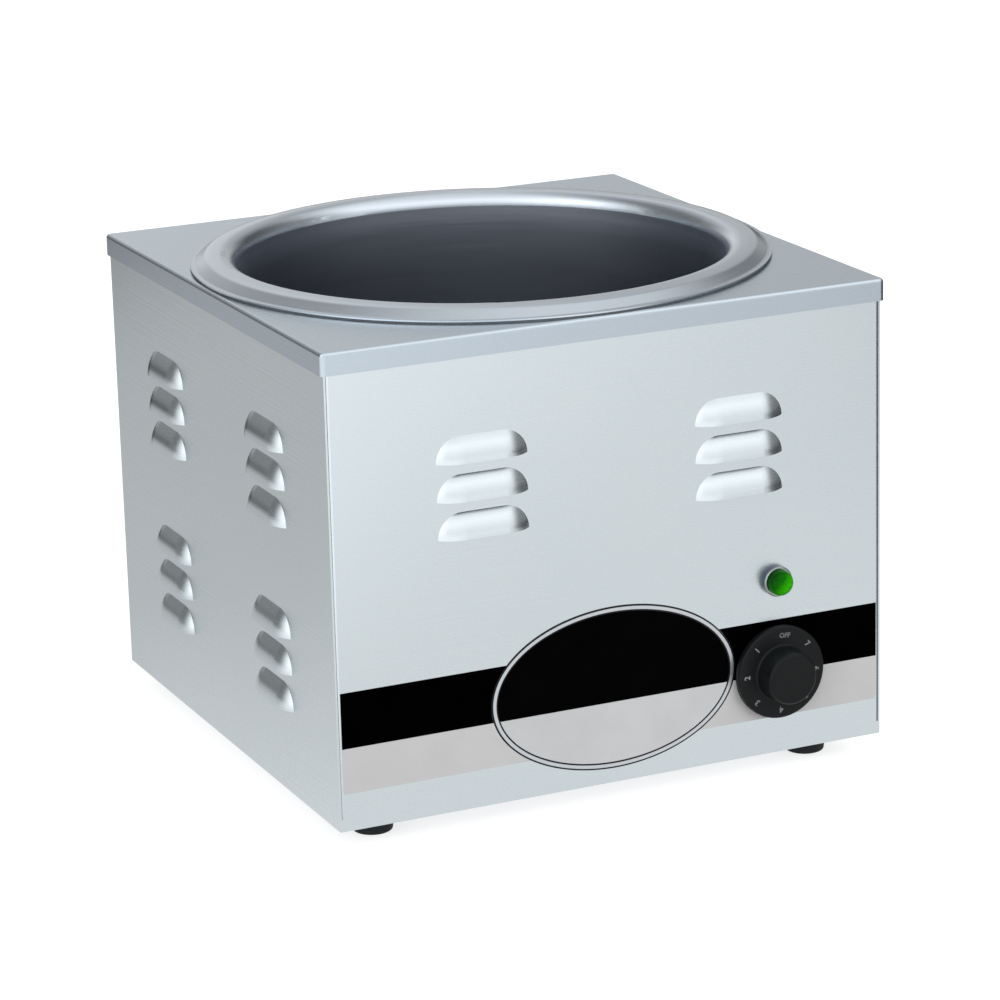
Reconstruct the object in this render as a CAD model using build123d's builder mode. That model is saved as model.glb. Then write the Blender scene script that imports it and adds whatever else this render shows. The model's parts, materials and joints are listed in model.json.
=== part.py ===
from build123d import *
import math
import os

os.makedirs("parts", exist_ok=True)

# Countertop food pan warmer: a square sheet steel housing with a round heated well.
# Millimetres. The origin is on the worktop, under the middle of the well.
# The front, with the dial and the pilot light, faces -Y, and +X is to the right.

# Housing
DECK_MARGIN = 2.0
SHEET = 1.0
SKIRT_DROP = 12.0
DECK_BEND = 2.0
DECK_CORNER = 2.5
PANEL_INSET = 1.8
PANEL_TOP_GAP = 0.2
RETURN_LENGTH = 18.0
RETURN_BEND = 1.5
EAR_HEIGHT = 7.0
FLANGE_WIDTH = 15.0
FLANGE_GAP = 0.3
POST_LEG = 16.0
POST_SHEET = 1.2
POST_CORNER = 3.0

# Louvers, pressed out of the panels and open at the bottom
LOUVER_HEIGHT = 13.5
LOUVER_BULGE = 5.5
LOUVER_STRAIGHT = 24.0
LOUVER_SKIN = 1.0
LOUVER_PITCH = 20.0
LOUVER_COUNT = 3
LOUVER_INSET = 84.7
LOUVER_DROP = 66.0
LOUVER_ROW_DROP = 100.0

# Feet and bottom plate
FOOT_HEIGHT = 14.2
FOOT_TOP_R = 12.0
FOOT_BOTTOM_R = 10.6
FOOT_EDGE = 1.5
FOOT_INSET = 30.0
FOOT_BORE_R = 5.2
FOOT_SEAT = 6.0
FOOT_SCREW_R = 2.0
FOOT_SCREW_HEAD_R = 4.2
FOOT_SCREW_HEAD_H = 2.4
FOOT_SCREW_LENGTH = 12.0
PLATE_GAP = 0.5
PLATE_SCREW_R = 1.5
PLATE_SCREW_HEAD_R = 3.4
PLATE_SCREW_HEAD_H = 1.8
PLATE_SCREW_LENGTH = 7.0
PLATE_SCREW_PLACE = 60.0
VENT_LENGTH = 44.0
VENT_WIDTH = 5.0
VENT_PITCH_X = 62.0
VENT_PITCH_Y = 16.0
VENT_COLUMNS = 3
VENT_ROWS = 4

# Well pan and its rolled rim. Widths run outwards from the bore, heights up from the deck
WELL_BORE_R = 133.5
WELL_DEPTH = 200.0
WELL_SHEET = 0.8
WELL_CORNER = 20.0
RIM_MOUTH_BEND = 8.0
RIM_LIP_WIDTH = 1.5
RIM_CROWN_WIDTH = 3.6
RIM_BEAD_WIDTH = 3.0
RIM_SLOPE_WIDTH = 6.4
RIM_FLAT_WIDTH = 2.0
RIM_BEAD_Z = 6.0
RIM_CROWN_RISE = 0.5
RIM_LIP_RISE = 0.3
RIM_FLAT_BEND = 2.4
RIM_BEAD_BEND = 4.0
RIM_CROWN_BEND = 20.0
RIM_LIP_BEND = 12.0
GASKET_HEIGHT = 1.0
GASKET_TO_OPENING = 1.0
GASKET_TO_RIM_EDGE = 0.8
OPENING_TO_LIP = 1.4

# Hold-down clips between the deck opening and the well wall
CLIP_COUNT = 4
CLIP_FIRST_ANGLE = 45.0
CLIP_STUD_R = 2.0
CLIP_STUD_TO_OPENING = 0.3
CLIP_STUD_SEAT = 0.2
CLIP_STUD_DROP = 14.0
CLIP_WIDTH = 12.0
CLIP_SHEET = 2.2
CLIP_REACH = 12.0
CLIP_WALL_GAP = 0.4

# Insulation round the well wall
WRAP_T = 12.0
WRAP_TOP_GAP = 17.0
WRAP_GAP = 0.2

# Tubular heating loop under the well, its clamp plate, insulation and tray
LOOP_INSET = 25.5
LOOP_TUBE_R = 3.25
LOOP_LEAD_X = 12.0
LOOP_LEAD_LENGTH = 22.0
LOOP_TURN_R = 12.0
LOOP_LEG_BEND = 8.0
CLAMP_PLATE_INSET = 1.5
CLAMP_PLATE_T = 1.2
INSULATION_T = 16.0
TRAY_SHEET = 0.8
TRAY_WALL = 15.0
TRAY_LIP = 4.0
LEG_HOLE_R = 4.2
LEG_SLOT = 3.0
LEG_DROP = 6.0
INSULATOR_R = 2.8
INSULATOR_LENGTH = 4.0
PIN_R = 1.5
PIN_LENGTH = 9.0
PIN_ROOM = 6.5
STUD_R = 2.5
STUD_INSET = 33.0
STUD_COUNT = 3
STUD_FIRST_ANGLE = 90.0
STUD_END = 9.0
STUD_NUT_ACROSS = 8.0
STUD_NUT_HEIGHT = 4.0
LIMITER_R = 8.0
LIMITER_HEIGHT = 8.0
LIMITER_HOLE_R = 14.0
BLADE_WIDTH = 6.3
BLADE_T = 0.8
LIMITER_BLADE_X = 5.0
LIMITER_BLADE_LENGTH = 12.0

# Dial and its thermostat
DIAL_INSET = 63.5
DIAL_HEIGHT = 46.8
DIAL_SKIRT_R = 25.5
DIAL_BACK_GAP = 2.3
DIAL_SKIRT_FRONT = 6.8
DIAL_REACH = 20.0
DIAL_HUB_R = 14.8
DIAL_HUB_TIP_R = 14.2
DIAL_EDGE = 1.0
DIAL_HUB_EDGE = 1.5
DIAL_RECESS_R = 23.0
DIAL_RECESS_DEPTH = 1.2
SHAFT_R = 3.0
SHAFT_FLAT = 2.0
SHAFT_FLAT_PAST_DIAL = 0.4
SHAFT_END_GAP = 4.0
SHAFT_WALL_GAP = 0.4
SHAFT_COLLAR_R = 4.2
SHAFT_COLLAR_T = 1.0
SHAFT_COLLAR_GAP = 0.3
SPRING_T = 0.4
SPRING_WIDTH = 3.6
SPRING_LENGTH = 8.0
MOUNT_WIDTH = 44.0
MOUNT_HEIGHT = 30.0
MOUNT_SHEET = 1.5
BUSH_R = 4.8
BUSH_REACH = 1.6
DIAL_SCREW_R = 2.0
DIAL_SCREW_HEAD_R = 3.4
DIAL_SCREW_HEAD_H = 1.5
DIAL_SCREW_LENGTH = 7.0
DIAL_SCREW_PLACE = 14.0
CASE_WIDTH = 40.0
CASE_HEIGHT = 32.0
CASE_DEPTH = 22.0
CASE_WALL = 2.0
CASE_SIDE_WALL = 3.0
CASE_SCREW_POCKET = 7.0
CAM_R = 8.0
CAM_OFFSET = 1.5
CAM_T = 5.0
CAM_GAP = 3.0
DIAPHRAGM_R = 10.0
DIAPHRAGM_T = 3.0
CONTACT_LENGTH = 20.0
CONTACT_DROP = 8.0
SWITCH_BLADE_T = 0.6
SWITCH_BLADE_HEIGHT = 5.0
SWITCH_BLADE_GAP = 2.4
BULB_R = 3.0
BULB_LENGTH = 70.0
BULB_ANGLE = -25.0
BULB_SLOT = 11.0
BULB_CLIP_WIDTH = 6.0
BULB_CLIP_SHEET = 0.8
CAPILLARY_R = 0.8
CAPILLARY_SIDE = 8.0
CAPILLARY_OUT = 33.0
CAPILLARY_BACK = 20.0
CAPILLARY_BULGE = 11.5
CAPILLARY_RISE = 5.0

# Pilot light
PILOT_HEIGHT = 96.6
PILOT_HOLE_R = 6.5
BEZEL_R = 8.25
BEZEL_HEIGHT = 4.0
BEZEL_BASE = 2.0
BEZEL_SLEEVE = 11.0
BEZEL_BORE_R = 5.0
BEZEL_EDGE = 0.8
LENS_R = 6.75
LENS_REACH = 10.0
LENS_WALL = 0.9
LENS_DOME = 3.4
PILOT_BODY_LENGTH = 24.0
RETAINER_ACROSS = 18.0
RETAINER_T = 3.0
NEON_R = 2.5
NEON_GAP = 0.3
PILOT_LEAD_SPREAD = 3.4

# Printed stripes and badge, thin films on the front panel
FILM = 0.2
BADGE_FILM = 0.3
BLACK_STRIPE_LOW = 44.6
BLACK_STRIPE_HIGH = 74.5
GREY_STRIPE_LOW = 20.3
BADGE_X = -1.0
BADGE_HEIGHT = 52.5
BADGE_TO_DIAL = 24.7
BADGE_HALF_HEIGHT = 44.5
BADGE_GAP = 0.1

# Rear cord gland, terminal block and leads
GLAND_INSET = 63.2
GLAND_HEIGHT = 35.0
GLAND_THREAD_R = 7.9
GLAND_BORE_R = 4.6
GLAND_HEX_ACROSS = 21.0
GLAND_HEX_T = 5.0
GLAND_CAP_R = 9.8
GLAND_TIP_R = 7.6
GLAND_REACH = 20.0
GLAND_INSIDE = 8.0
GLAND_NUT_T = 4.0
BLOCK_WIDTH = 50.0
BLOCK_DEPTH = 22.0
BLOCK_HEIGHT = 16.0
BLOCK_INSET = 45.2
BLOCK_PITCH = 16.0
BLOCK_WAYS = 3
BAR_SIDE = 8.0
BAR_OVERHANG = 1.0
EARTH_SIDE = 43.0
EARTH_BACK = 2.0
EARTH_STUD_R = 2.0
EARTH_STUD_HEIGHT = 14.0
EARTH_NUT_ACROSS = 7.0
EARTH_NUT_HEIGHT = 3.2
LEAD_R = 1.3
LEAD_BEND = 12.0
LEAD_PAIR_STEP = 2.2
LEAD_PAST_CASE = 8.0
LEAD_STEP = 4.0
LOW_RUN = 3.0
MIDDLE_RUN = 6.0
HIGH_RUN = 9.0

# Way points of the leads, counted from the pieces that they join
FRONT_TURN_X = 54.7
FRONT_TURN_Y = 34.0
LINE_TURN_X = 21.0
LINE_TURN_Y = 80.0
BLOCK_RUN = 30.0
ELEMENT_RUN = 38.0
LIMITER_RUN = 12.0
NEUTRAL_TURN_X = 34.0
NEUTRAL_TURN_Y = 30.0
PILOT_STEP_X = 14.0
PILOT_STEP_Z = 6.0
PILOT_TURN_Y = 100.0
PILOT_BACK_X = 20.0
PILOT_BACK_Y = 50.0
EARTH_RUN = 14.0
CONTACT_GRIP = 3.0

# Clearances
FIT = 0.1
REST_GAP = 0.1
RUN = 0.05
PRINT_HOLE_GAP = 0.3

# Planes and heights that several pieces share
rim_lip_r = WELL_BORE_R + RIM_MOUTH_BEND + RIM_LIP_WIDTH
rim_crown_r = rim_lip_r + RIM_CROWN_WIDTH
rim_bead_r = rim_crown_r + RIM_BEAD_WIDTH
rim_flat_r = rim_bead_r + RIM_SLOPE_WIDTH
rim_outer_r = rim_flat_r + RIM_FLAT_WIDTH
deck_opening_r = rim_lip_r + OPENING_TO_LIP
deck_half = rim_outer_r + DECK_MARGIN
face = deck_half - PANEL_INSET
inner_face = face - SHEET
body_low = FOOT_HEIGHT - SHEET
plate_top = FOOT_HEIGHT + SHEET
leg_end = plate_top + PIN_ROOM + PIN_LENGTH + INSULATOR_LENGTH
tray_under = leg_end + LEG_DROP
tray_floor = tray_under + TRAY_SHEET
plate_low = tray_floor + INSULATION_T
plate_high = plate_low + CLAMP_PLATE_T
loop_z = plate_high + REST_GAP + LOOP_TUBE_R
well_under = loop_z + LOOP_TUBE_R + REST_GAP
well_floor = well_under + WELL_SHEET
deck_top = well_floor + WELL_DEPTH
rim_bead_z = deck_top + RIM_BEAD_Z
rim_crown_z = rim_bead_z + RIM_CROWN_RISE
rim_lip_z = rim_crown_z + RIM_LIP_RISE
deck_under = deck_top - SHEET
skirt_low = deck_top - SKIRT_DROP
panel_top = deck_under - PANEL_TOP_GAP
ear_top = body_low + EAR_HEIGHT
well_outer_r = WELL_BORE_R + WELL_SHEET
floor_r = WELL_BORE_R - WELL_CORNER
dial_x = face - DIAL_INSET
gland_x = GLAND_INSET - face
screw_line = face - FLANGE_WIDTH / 2
plate_half = inner_face - PLATE_GAP
louver_r = (LOUVER_HEIGHT**2 + LOUVER_BULGE**2) / (2 * LOUVER_BULGE)
louver_axis = louver_r - LOUVER_BULGE

CENTRED = (Align.CENTER, Align.CENTER, Align.CENTER)
STANDING = (Align.CENTER, Align.CENTER, Align.MIN)
HANGING = (Align.CENTER, Align.CENTER, Align.MAX)


def front_plane(x, y, z):
    """A plane at a point of the front, whose normal comes out of the front."""
    return Plane(origin=(x, y, z), x_dir=(1, 0, 0), z_dir=(0, -1, 0))


def capsule(radius):
    """A rod with ball ends along X, the shape that a louver is part of."""
    with BuildPart() as rod:
        with BuildSketch(Plane.XY):
            with BuildLine():
                Line((-LOUVER_STRAIGHT / 2 - radius, 0), (LOUVER_STRAIGHT / 2 + radius, 0))
                CenterArc((LOUVER_STRAIGHT / 2, 0), radius, 0, 90)
                Line((LOUVER_STRAIGHT / 2, radius), (-LOUVER_STRAIGHT / 2, radius))
                CenterArc((-LOUVER_STRAIGHT / 2, 0), radius, 90, 90)
            make_face()
        revolve(axis=Axis.X)
    return rod.part


def louver_places(drops):
    """Places of the louvers on a panel that faces -Y: across, at the capsule's axis, at the slit."""
    places = []
    for column in (LOUVER_INSET - face, face - LOUVER_INSET):
        for drop in drops:
            for step in range(LOUVER_COUNT):
                slit = deck_top - drop - step * LOUVER_PITCH
                places.append((column, louver_axis - face, slit))
    return places


def panel_screw_places():
    """Places of the screws along the flange of a panel that faces -Y."""
    return [(-PLATE_SCREW_PLACE, -screw_line), (PLATE_SCREW_PLACE, -screw_line)]


def screw(shank_radius, length, head_radius, head_height):
    """A pan head screw that points down, with its head standing on z = 0."""
    with BuildPart() as one:
        Cylinder(head_radius, head_height, align=STANDING)
        fillet(one.edges().sort_by(Axis.Z)[-1], radius=0.4 * head_height)
        Cylinder(shank_radius, length, align=HANGING)
    return one.part


def hex_nut(across, height, hole_radius):
    """A hexagon nut that hangs below z = 0."""
    with BuildPart() as one:
        with BuildSketch(Plane.XY):
            RegularPolygon(radius=across / 2, side_count=6, major_radius=False)
            Circle(hole_radius, mode=Mode.SUBTRACT)
        extrude(amount=-height)
    return one.part


def bends(points, largest):
    """One radius for each corner of a path, as large as the shorter run beside it allows."""
    radii = []
    for before, corner, after in zip(points, points[1:], points[2:]):
        run_in = Vector(*corner) - Vector(*before)
        run_out = Vector(*after) - Vector(*corner)
        half_turn = math.radians(run_in.get_angle(run_out)) / 2
        room = 0.45 * min(run_in.length, run_out.length) / math.tan(half_turn)
        radii.append(min(largest, room))
    return radii


def tube(points, radius, largest_bend):
    """A round tube along straight runs joined by tangent arcs."""
    with BuildPart() as one:
        with BuildLine() as path:
            FilletPolyline(*points, radius=bends(points, largest_bend))
        with BuildSketch(Plane(origin=path.line @ 0, z_dir=path.line % 0)):
            Circle(radius)
        sweep(path=path.line)
    return one.part


# One louver, placed many times: its skin, and the room that it takes out of the panel
with BuildPart() as louver_skin:
    add(capsule(louver_r))
    add(capsule(louver_r - LOUVER_SKIN), mode=Mode.SUBTRACT)
    with Locations((0, SHEET - louver_axis, 0)):
        Box(
            LOUVER_STRAIGHT + 2 * louver_r,
            LOUVER_BULGE + SHEET,
            louver_r,
            align=(Align.CENTER, Align.MAX, Align.MIN),
            mode=Mode.INTERSECT,
        )

with BuildPart() as louver_room:
    add(capsule(louver_r - LOUVER_SKIN))
    with Locations((0, 2 * SHEET - louver_axis, 0)):
        Box(
            LOUVER_STRAIGHT + 2 * louver_r,
            LOUVER_BULGE + 2 * SHEET,
            louver_r,
            align=(Align.CENTER, Align.MAX, Align.MIN),
            mode=Mode.INTERSECT,
        )

upper_louvers = louver_places([LOUVER_DROP])
all_louvers = louver_places([LOUVER_DROP, LOUVER_DROP + LOUVER_ROW_DROP])

# Deck: a shallow tray turned upside down, with the round opening for the well
with BuildPart() as top_deck:
    with BuildSketch(Plane.XY.offset(skirt_low)):
        RectangleRounded(2 * deck_half, 2 * deck_half, DECK_CORNER)
    extrude(amount=SKIRT_DROP)
    fillet(top_deck.faces().sort_by(Axis.Z)[-1].edges(), radius=DECK_BEND)
    with BuildSketch(Plane.XY.offset(skirt_low)):
        RectangleRounded(2 * (deck_half - SHEET), 2 * (deck_half - SHEET), DECK_CORNER - SHEET)
    extrude(amount=SKIRT_DROP - SHEET, mode=Mode.SUBTRACT)
    with BuildSketch(Plane.XY.offset(deck_under)):
        Circle(deck_opening_r)
    extrude(amount=SHEET, mode=Mode.SUBTRACT)
top_deck.part.label = "top_deck"
export_step(top_deck.part, "parts/top_deck.step")


def end_panel():
    """The panel that front and back share: bent returns, full width ears and a flange. It faces -Y."""
    with BuildPart() as panel:
        with BuildSketch(Plane.XY.offset(ear_top)):
            with BuildLine():
                FilletPolyline(
                    (-inner_face, RETURN_LENGTH - face),
                    (-inner_face, -face),
                    (inner_face, -face),
                    (inner_face, RETURN_LENGTH - face),
                    radius=RETURN_BEND,
                )
                offset(amount=SHEET, side=Side.LEFT)
            make_face()
        extrude(amount=panel_top - ear_top)
        with Locations((0, -face, body_low)):
            Box(2 * face, SHEET, EAR_HEIGHT, align=(Align.CENTER, Align.MIN, Align.MIN))
            Box(2 * inner_face, FLANGE_WIDTH, SHEET, align=(Align.CENTER, Align.MIN, Align.MIN))
        with Locations(*[(x, y, body_low) for x, y in panel_screw_places()]):
            Cylinder(PLATE_SCREW_R + FIT, SHEET, align=STANDING, mode=Mode.SUBTRACT)
        with Locations(*upper_louvers):
            add(louver_room.part, mode=Mode.SUBTRACT)
            add(louver_skin.part)
    return panel.part


def side_panel():
    """A flat side panel whose raw edges show at the corners, with a flange below. It faces -Y."""
    with BuildPart() as panel:
        with Locations((0, -face, ear_top)):
            Box(2 * face, SHEET, panel_top - ear_top, align=(Align.CENTER, Align.MIN, Align.MIN))
        with Locations((0, -face, body_low)):
            Box(2 * inner_face, SHEET, EAR_HEIGHT, align=(Align.CENTER, Align.MIN, Align.MIN))
            Box(
                2 * (face - FLANGE_WIDTH - FLANGE_GAP),
                FLANGE_WIDTH,
                SHEET,
                align=(Align.CENTER, Align.MIN, Align.MIN),
            )
        with Locations(*[(x, y, body_low) for x, y in panel_screw_places()]):
            Cylinder(PLATE_SCREW_R + FIT, SHEET, align=STANDING, mode=Mode.SUBTRACT)
        with Locations(*all_louvers):
            add(louver_room.part, mode=Mode.SUBTRACT)
            add(louver_skin.part)
    return panel.part


dial_z = body_low + DIAL_HEIGHT
pilot_z = body_low + PILOT_HEIGHT
gland_z = body_low + GLAND_HEIGHT
dial_screw_places = [(dial_x - DIAL_SCREW_PLACE, dial_z), (dial_x + DIAL_SCREW_PLACE, dial_z)]

with BuildPart() as front_panel:
    add(end_panel())
    with BuildSketch(front_plane(0, -inner_face, 0)):
        with Locations((dial_x, dial_z)):
            Circle(BUSH_R + FIT)
        with Locations(*dial_screw_places):
            Circle(DIAL_SCREW_R + FIT)
        with Locations((dial_x, pilot_z)):
            Circle(PILOT_HOLE_R)
    extrude(amount=SHEET, mode=Mode.SUBTRACT)
front_panel.part.label = "front_panel"
export_step(front_panel.part, "parts/front_panel.step")

with BuildPart() as back_panel:
    with Locations(Location((0, 0, 0), (0, 0, 180))):
        add(end_panel())
    with BuildSketch(front_plane(0, face, 0)):
        with Locations((gland_x, gland_z)):
            Circle(GLAND_THREAD_R + FIT)
    extrude(amount=SHEET, mode=Mode.SUBTRACT)
back_panel.part.label = "back_panel"
export_step(back_panel.part, "parts/back_panel.step")

with BuildPart() as side_panel_left:
    with Locations(Location((0, 0, 0), (0, 0, -90))):
        add(side_panel())
side_panel_left.part.label = "side_panel_left"
export_step(side_panel_left.part, "parts/side_panel_left.step")

with BuildPart() as side_panel_right:
    with Locations(Location((0, 0, 0), (0, 0, 90))):
        add(side_panel())
side_panel_right.part.label = "side_panel_right"
export_step(side_panel_right.part, "parts/side_panel_right.step")

# Corner posts: angles that stand on the bottom plate and carry the deck
with BuildPart() as corner_posts:
    with BuildSketch(Plane.XY.offset(plate_top)):
        with BuildLine():
            FilletPolyline(
                (SHEET - inner_face, POST_LEG - inner_face),
                (SHEET - inner_face, -inner_face),
                (SHEET - inner_face + POST_LEG, -inner_face),
                radius=POST_CORNER,
            )
            offset(amount=POST_SHEET, side=Side.LEFT)
        make_face()
        mirror(about=Plane.YZ)
        mirror(about=Plane.XZ)
    extrude(amount=deck_under - plate_top)
corner_posts.part.label = "corner_posts"
export_step(corner_posts.part, "parts/corner_posts.step")

foot_place = face - FOOT_INSET
foot_places = [(x, y) for x in (-foot_place, foot_place) for y in (-foot_place, foot_place)]

block_y = inner_face - BLOCK_INSET
earth_x = gland_x + EARTH_SIDE
earth_y = block_y - EARTH_BACK

# Bottom plate: it lies on the four flanges and has rows of vent slots
with BuildPart() as bottom_plate:
    with BuildSketch(Plane.XY.offset(FOOT_HEIGHT)):
        Rectangle(2 * plate_half, 2 * plate_half)
        with GridLocations(VENT_PITCH_X, VENT_PITCH_Y, VENT_COLUMNS, VENT_ROWS):
            SlotOverall(VENT_LENGTH, VENT_WIDTH, mode=Mode.SUBTRACT)
        with Locations(*foot_places):
            Circle(FOOT_SCREW_R + FIT, mode=Mode.SUBTRACT)
        with PolarLocations(0, 4):
            with Locations(*panel_screw_places()):
                Circle(PLATE_SCREW_R + FIT, mode=Mode.SUBTRACT)
        with Locations((earth_x, earth_y)):
            Circle(EARTH_STUD_R, mode=Mode.SUBTRACT)
    extrude(amount=SHEET)
bottom_plate.part.label = "bottom_plate"
export_step(bottom_plate.part, "parts/bottom_plate.step")

# Screws that hold the bottom plate to the flanges, from below
plate_screw = screw(PLATE_SCREW_R, PLATE_SCREW_LENGTH, PLATE_SCREW_HEAD_R, PLATE_SCREW_HEAD_H)
with BuildPart() as bottom_screws:
    with PolarLocations(0, 4):
        with Locations(*[Location((x, y, body_low), (180, 0, 0)) for x, y in panel_screw_places()]):
            add(plate_screw)
bottom_screws.part.label = "bottom_screws"
export_step(bottom_screws.part, "parts/bottom_screws.step")

# Rubber feet, each with a deep seat for its screw
with BuildPart() as foot:
    with BuildSketch(Plane.XY):
        Circle(FOOT_BOTTOM_R)
    with BuildSketch(Plane.XY.offset(FOOT_HEIGHT)):
        Circle(FOOT_TOP_R)
    loft()
    fillet(foot.edges().sort_by(Axis.Z)[0], radius=FOOT_EDGE)
    Cylinder(FOOT_BORE_R, FOOT_SEAT, align=STANDING, mode=Mode.SUBTRACT)
    Cylinder(FOOT_SCREW_R + FIT, FOOT_HEIGHT, align=STANDING, mode=Mode.SUBTRACT)

foot_names = ["foot_front_left", "foot_rear_left", "foot_front_right", "foot_rear_right"]
for foot_name, (foot_x, foot_y) in zip(foot_names, foot_places):
    placed_foot = foot.part.moved(Location((foot_x, foot_y, 0)))
    placed_foot.label = foot_name
    export_step(placed_foot, f"parts/{foot_name}.step")

foot_screw = screw(FOOT_SCREW_R, FOOT_SCREW_LENGTH, FOOT_SCREW_HEAD_R, FOOT_SCREW_HEAD_H)
with BuildPart() as foot_screws:
    with Locations(*[Location((x, y, FOOT_SEAT), (180, 0, 0)) for x, y in foot_places]):
        add(foot_screw)
foot_screws.part.label = "foot_screws"
export_step(foot_screws.part, "parts/foot_screws.step")

# Well pan: one drawn sheet, from the flange over the rolled rim down to the floor
with BuildPart() as well_pan:
    with BuildSketch(Plane.XZ):
        with BuildLine():
            FilletPolyline(
                (rim_outer_r, deck_top + GASKET_HEIGHT + WELL_SHEET),
                (rim_flat_r, deck_top + GASKET_HEIGHT + WELL_SHEET),
                (rim_bead_r, rim_bead_z),
                (rim_crown_r, rim_crown_z),
                (rim_lip_r, rim_lip_z),
                (WELL_BORE_R, rim_lip_z),
                (WELL_BORE_R, well_floor),
                (0, well_floor),
                radius=[
                    RIM_FLAT_BEND,
                    RIM_BEAD_BEND,
                    RIM_CROWN_BEND,
                    RIM_LIP_BEND,
                    RIM_MOUTH_BEND,
                    WELL_CORNER,
                ],
            )
            offset(amount=WELL_SHEET, side=Side.LEFT)
        make_face()
    revolve(axis=Axis.Z)
well_pan.part.label = "well_pan"
export_step(well_pan.part, "parts/well_pan.step")

# Gasket between the flange of the well and the deck
with BuildPart() as rim_gasket:
    with BuildSketch(Plane.XY.offset(deck_top)):
        Circle(rim_outer_r - GASKET_TO_RIM_EDGE)
        Circle(deck_opening_r + GASKET_TO_OPENING, mode=Mode.SUBTRACT)
    extrude(amount=GASKET_HEIGHT)
rim_gasket.part.label = "rim_gasket"
export_step(rim_gasket.part, "parts/rim_gasket.step")

# Hold-down clips: a stud under the rim, a bar that reaches under the deck, and a nut
clip_inner_r = well_outer_r + CLIP_WALL_GAP
clip_outer_r = deck_opening_r + CLIP_REACH
clip_stud_r = deck_opening_r - CLIP_STUD_TO_OPENING - CLIP_STUD_R
clip_stud_top = rim_lip_z - WELL_SHEET - CLIP_STUD_SEAT

with BuildPart() as clip_studs:
    with PolarLocations(clip_stud_r, CLIP_COUNT, start_angle=CLIP_FIRST_ANGLE):
        with Locations((0, 0, clip_stud_top)):
            Cylinder(CLIP_STUD_R, CLIP_STUD_DROP + clip_stud_top - deck_top, align=HANGING)
clip_studs.part.label = "clip_studs"
export_step(clip_studs.part, "parts/clip_studs.step")

with BuildPart() as hold_clips:
    with BuildSketch(Plane.XY.offset(deck_under - CLIP_SHEET)):
        with PolarLocations(clip_inner_r, CLIP_COUNT, start_angle=CLIP_FIRST_ANGLE):
            Rectangle(clip_outer_r - clip_inner_r, CLIP_WIDTH, align=(Align.MIN, Align.CENTER))
        with PolarLocations(clip_stud_r, CLIP_COUNT, start_angle=CLIP_FIRST_ANGLE):
            Circle(CLIP_STUD_R + FIT, mode=Mode.SUBTRACT)
    extrude(amount=CLIP_SHEET)
hold_clips.part.label = "hold_clips"
export_step(hold_clips.part, "parts/hold_clips.step")

clip_nut = hex_nut(EARTH_NUT_ACROSS, EARTH_NUT_HEIGHT, CLIP_STUD_R + RUN)
with BuildPart() as clip_nuts:
    with PolarLocations(clip_stud_r, CLIP_COUNT, start_angle=CLIP_FIRST_ANGLE):
        with Locations((0, 0, deck_under - CLIP_SHEET)):
            add(clip_nut)
clip_nuts.part.label = "clip_nuts"
export_step(clip_nuts.part, "parts/clip_nuts.step")

# Insulation round the wall of the well, with a slot for the thermostat bulb
wrap_low = well_floor + WELL_CORNER
wrap_high = deck_under - WRAP_TOP_GAP
wrap_outer_r = well_outer_r + WRAP_T
bulb_place_r = well_outer_r + REST_GAP + BULB_R
bulb_low = wrap_low + 2 * BULB_R
bulb_high = bulb_low + BULB_LENGTH

with BuildPart() as insulation_wrap:
    with BuildSketch(Plane.XY.offset(wrap_low)):
        Circle(wrap_outer_r)
        Circle(well_outer_r + WRAP_GAP, mode=Mode.SUBTRACT)
    extrude(amount=wrap_high - wrap_low)
    with BuildSketch(Plane.XY.offset(wrap_low)):
        with PolarLocations(well_outer_r, 1, start_angle=BULB_ANGLE):
            Rectangle(wrap_outer_r, BULB_SLOT)
    extrude(amount=BULB_LENGTH + 4 * BULB_R, mode=Mode.SUBTRACT)
insulation_wrap.part.label = "insulation_wrap"
export_step(insulation_wrap.part, "parts/insulation_wrap.step")

# Tubular heating loop: two legs, two leads, and one turn under the floor of the well
loop_r = floor_r - LOOP_INSET
turn_x = LOOP_LEAD_X + LOOP_TURN_R
turn_y = -math.sqrt((loop_r - LOOP_TURN_R) ** 2 - turn_x**2)
turn_angle = math.degrees(math.atan2(turn_y, -turn_x))
lead_y = turn_y + LOOP_LEAD_LENGTH

with BuildPart() as heating_element:
    with BuildLine(Plane.XY.offset(loop_z)) as loop_path:
        FilletPolyline(
            (-LOOP_LEAD_X, lead_y, leg_end - loop_z),
            (-LOOP_LEAD_X, lead_y, 0),
            (-LOOP_LEAD_X, turn_y, 0),
            radius=LOOP_LEG_BEND,
        )
        CenterArc((-turn_x, turn_y), LOOP_TURN_R, 0, turn_angle)
        CenterArc((0, 0), loop_r, turn_angle, -(540 + 2 * turn_angle))
        CenterArc((turn_x, turn_y), LOOP_TURN_R, -180 - turn_angle, turn_angle)
        FilletPolyline(
            (LOOP_LEAD_X, turn_y, 0),
            (LOOP_LEAD_X, lead_y, 0),
            (LOOP_LEAD_X, lead_y, leg_end - loop_z),
            radius=LOOP_LEG_BEND,
        )
    with BuildSketch(Plane.XY.offset(leg_end)):
        with Locations((-LOOP_LEAD_X, lead_y)):
            Circle(LOOP_TUBE_R)
    sweep(path=loop_path.wire())
heating_element.part.label = "heating_element"
export_step(heating_element.part, "parts/heating_element.step")

leg_places = [(-LOOP_LEAD_X, lead_y), (LOOP_LEAD_X, lead_y)]
leg_slot_places = [(x, y - LEG_SLOT / 2) for x, y in leg_places]
clamp_plate_r = floor_r - CLAMP_PLATE_INSET
stud_place_r = loop_r - STUD_INSET

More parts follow.
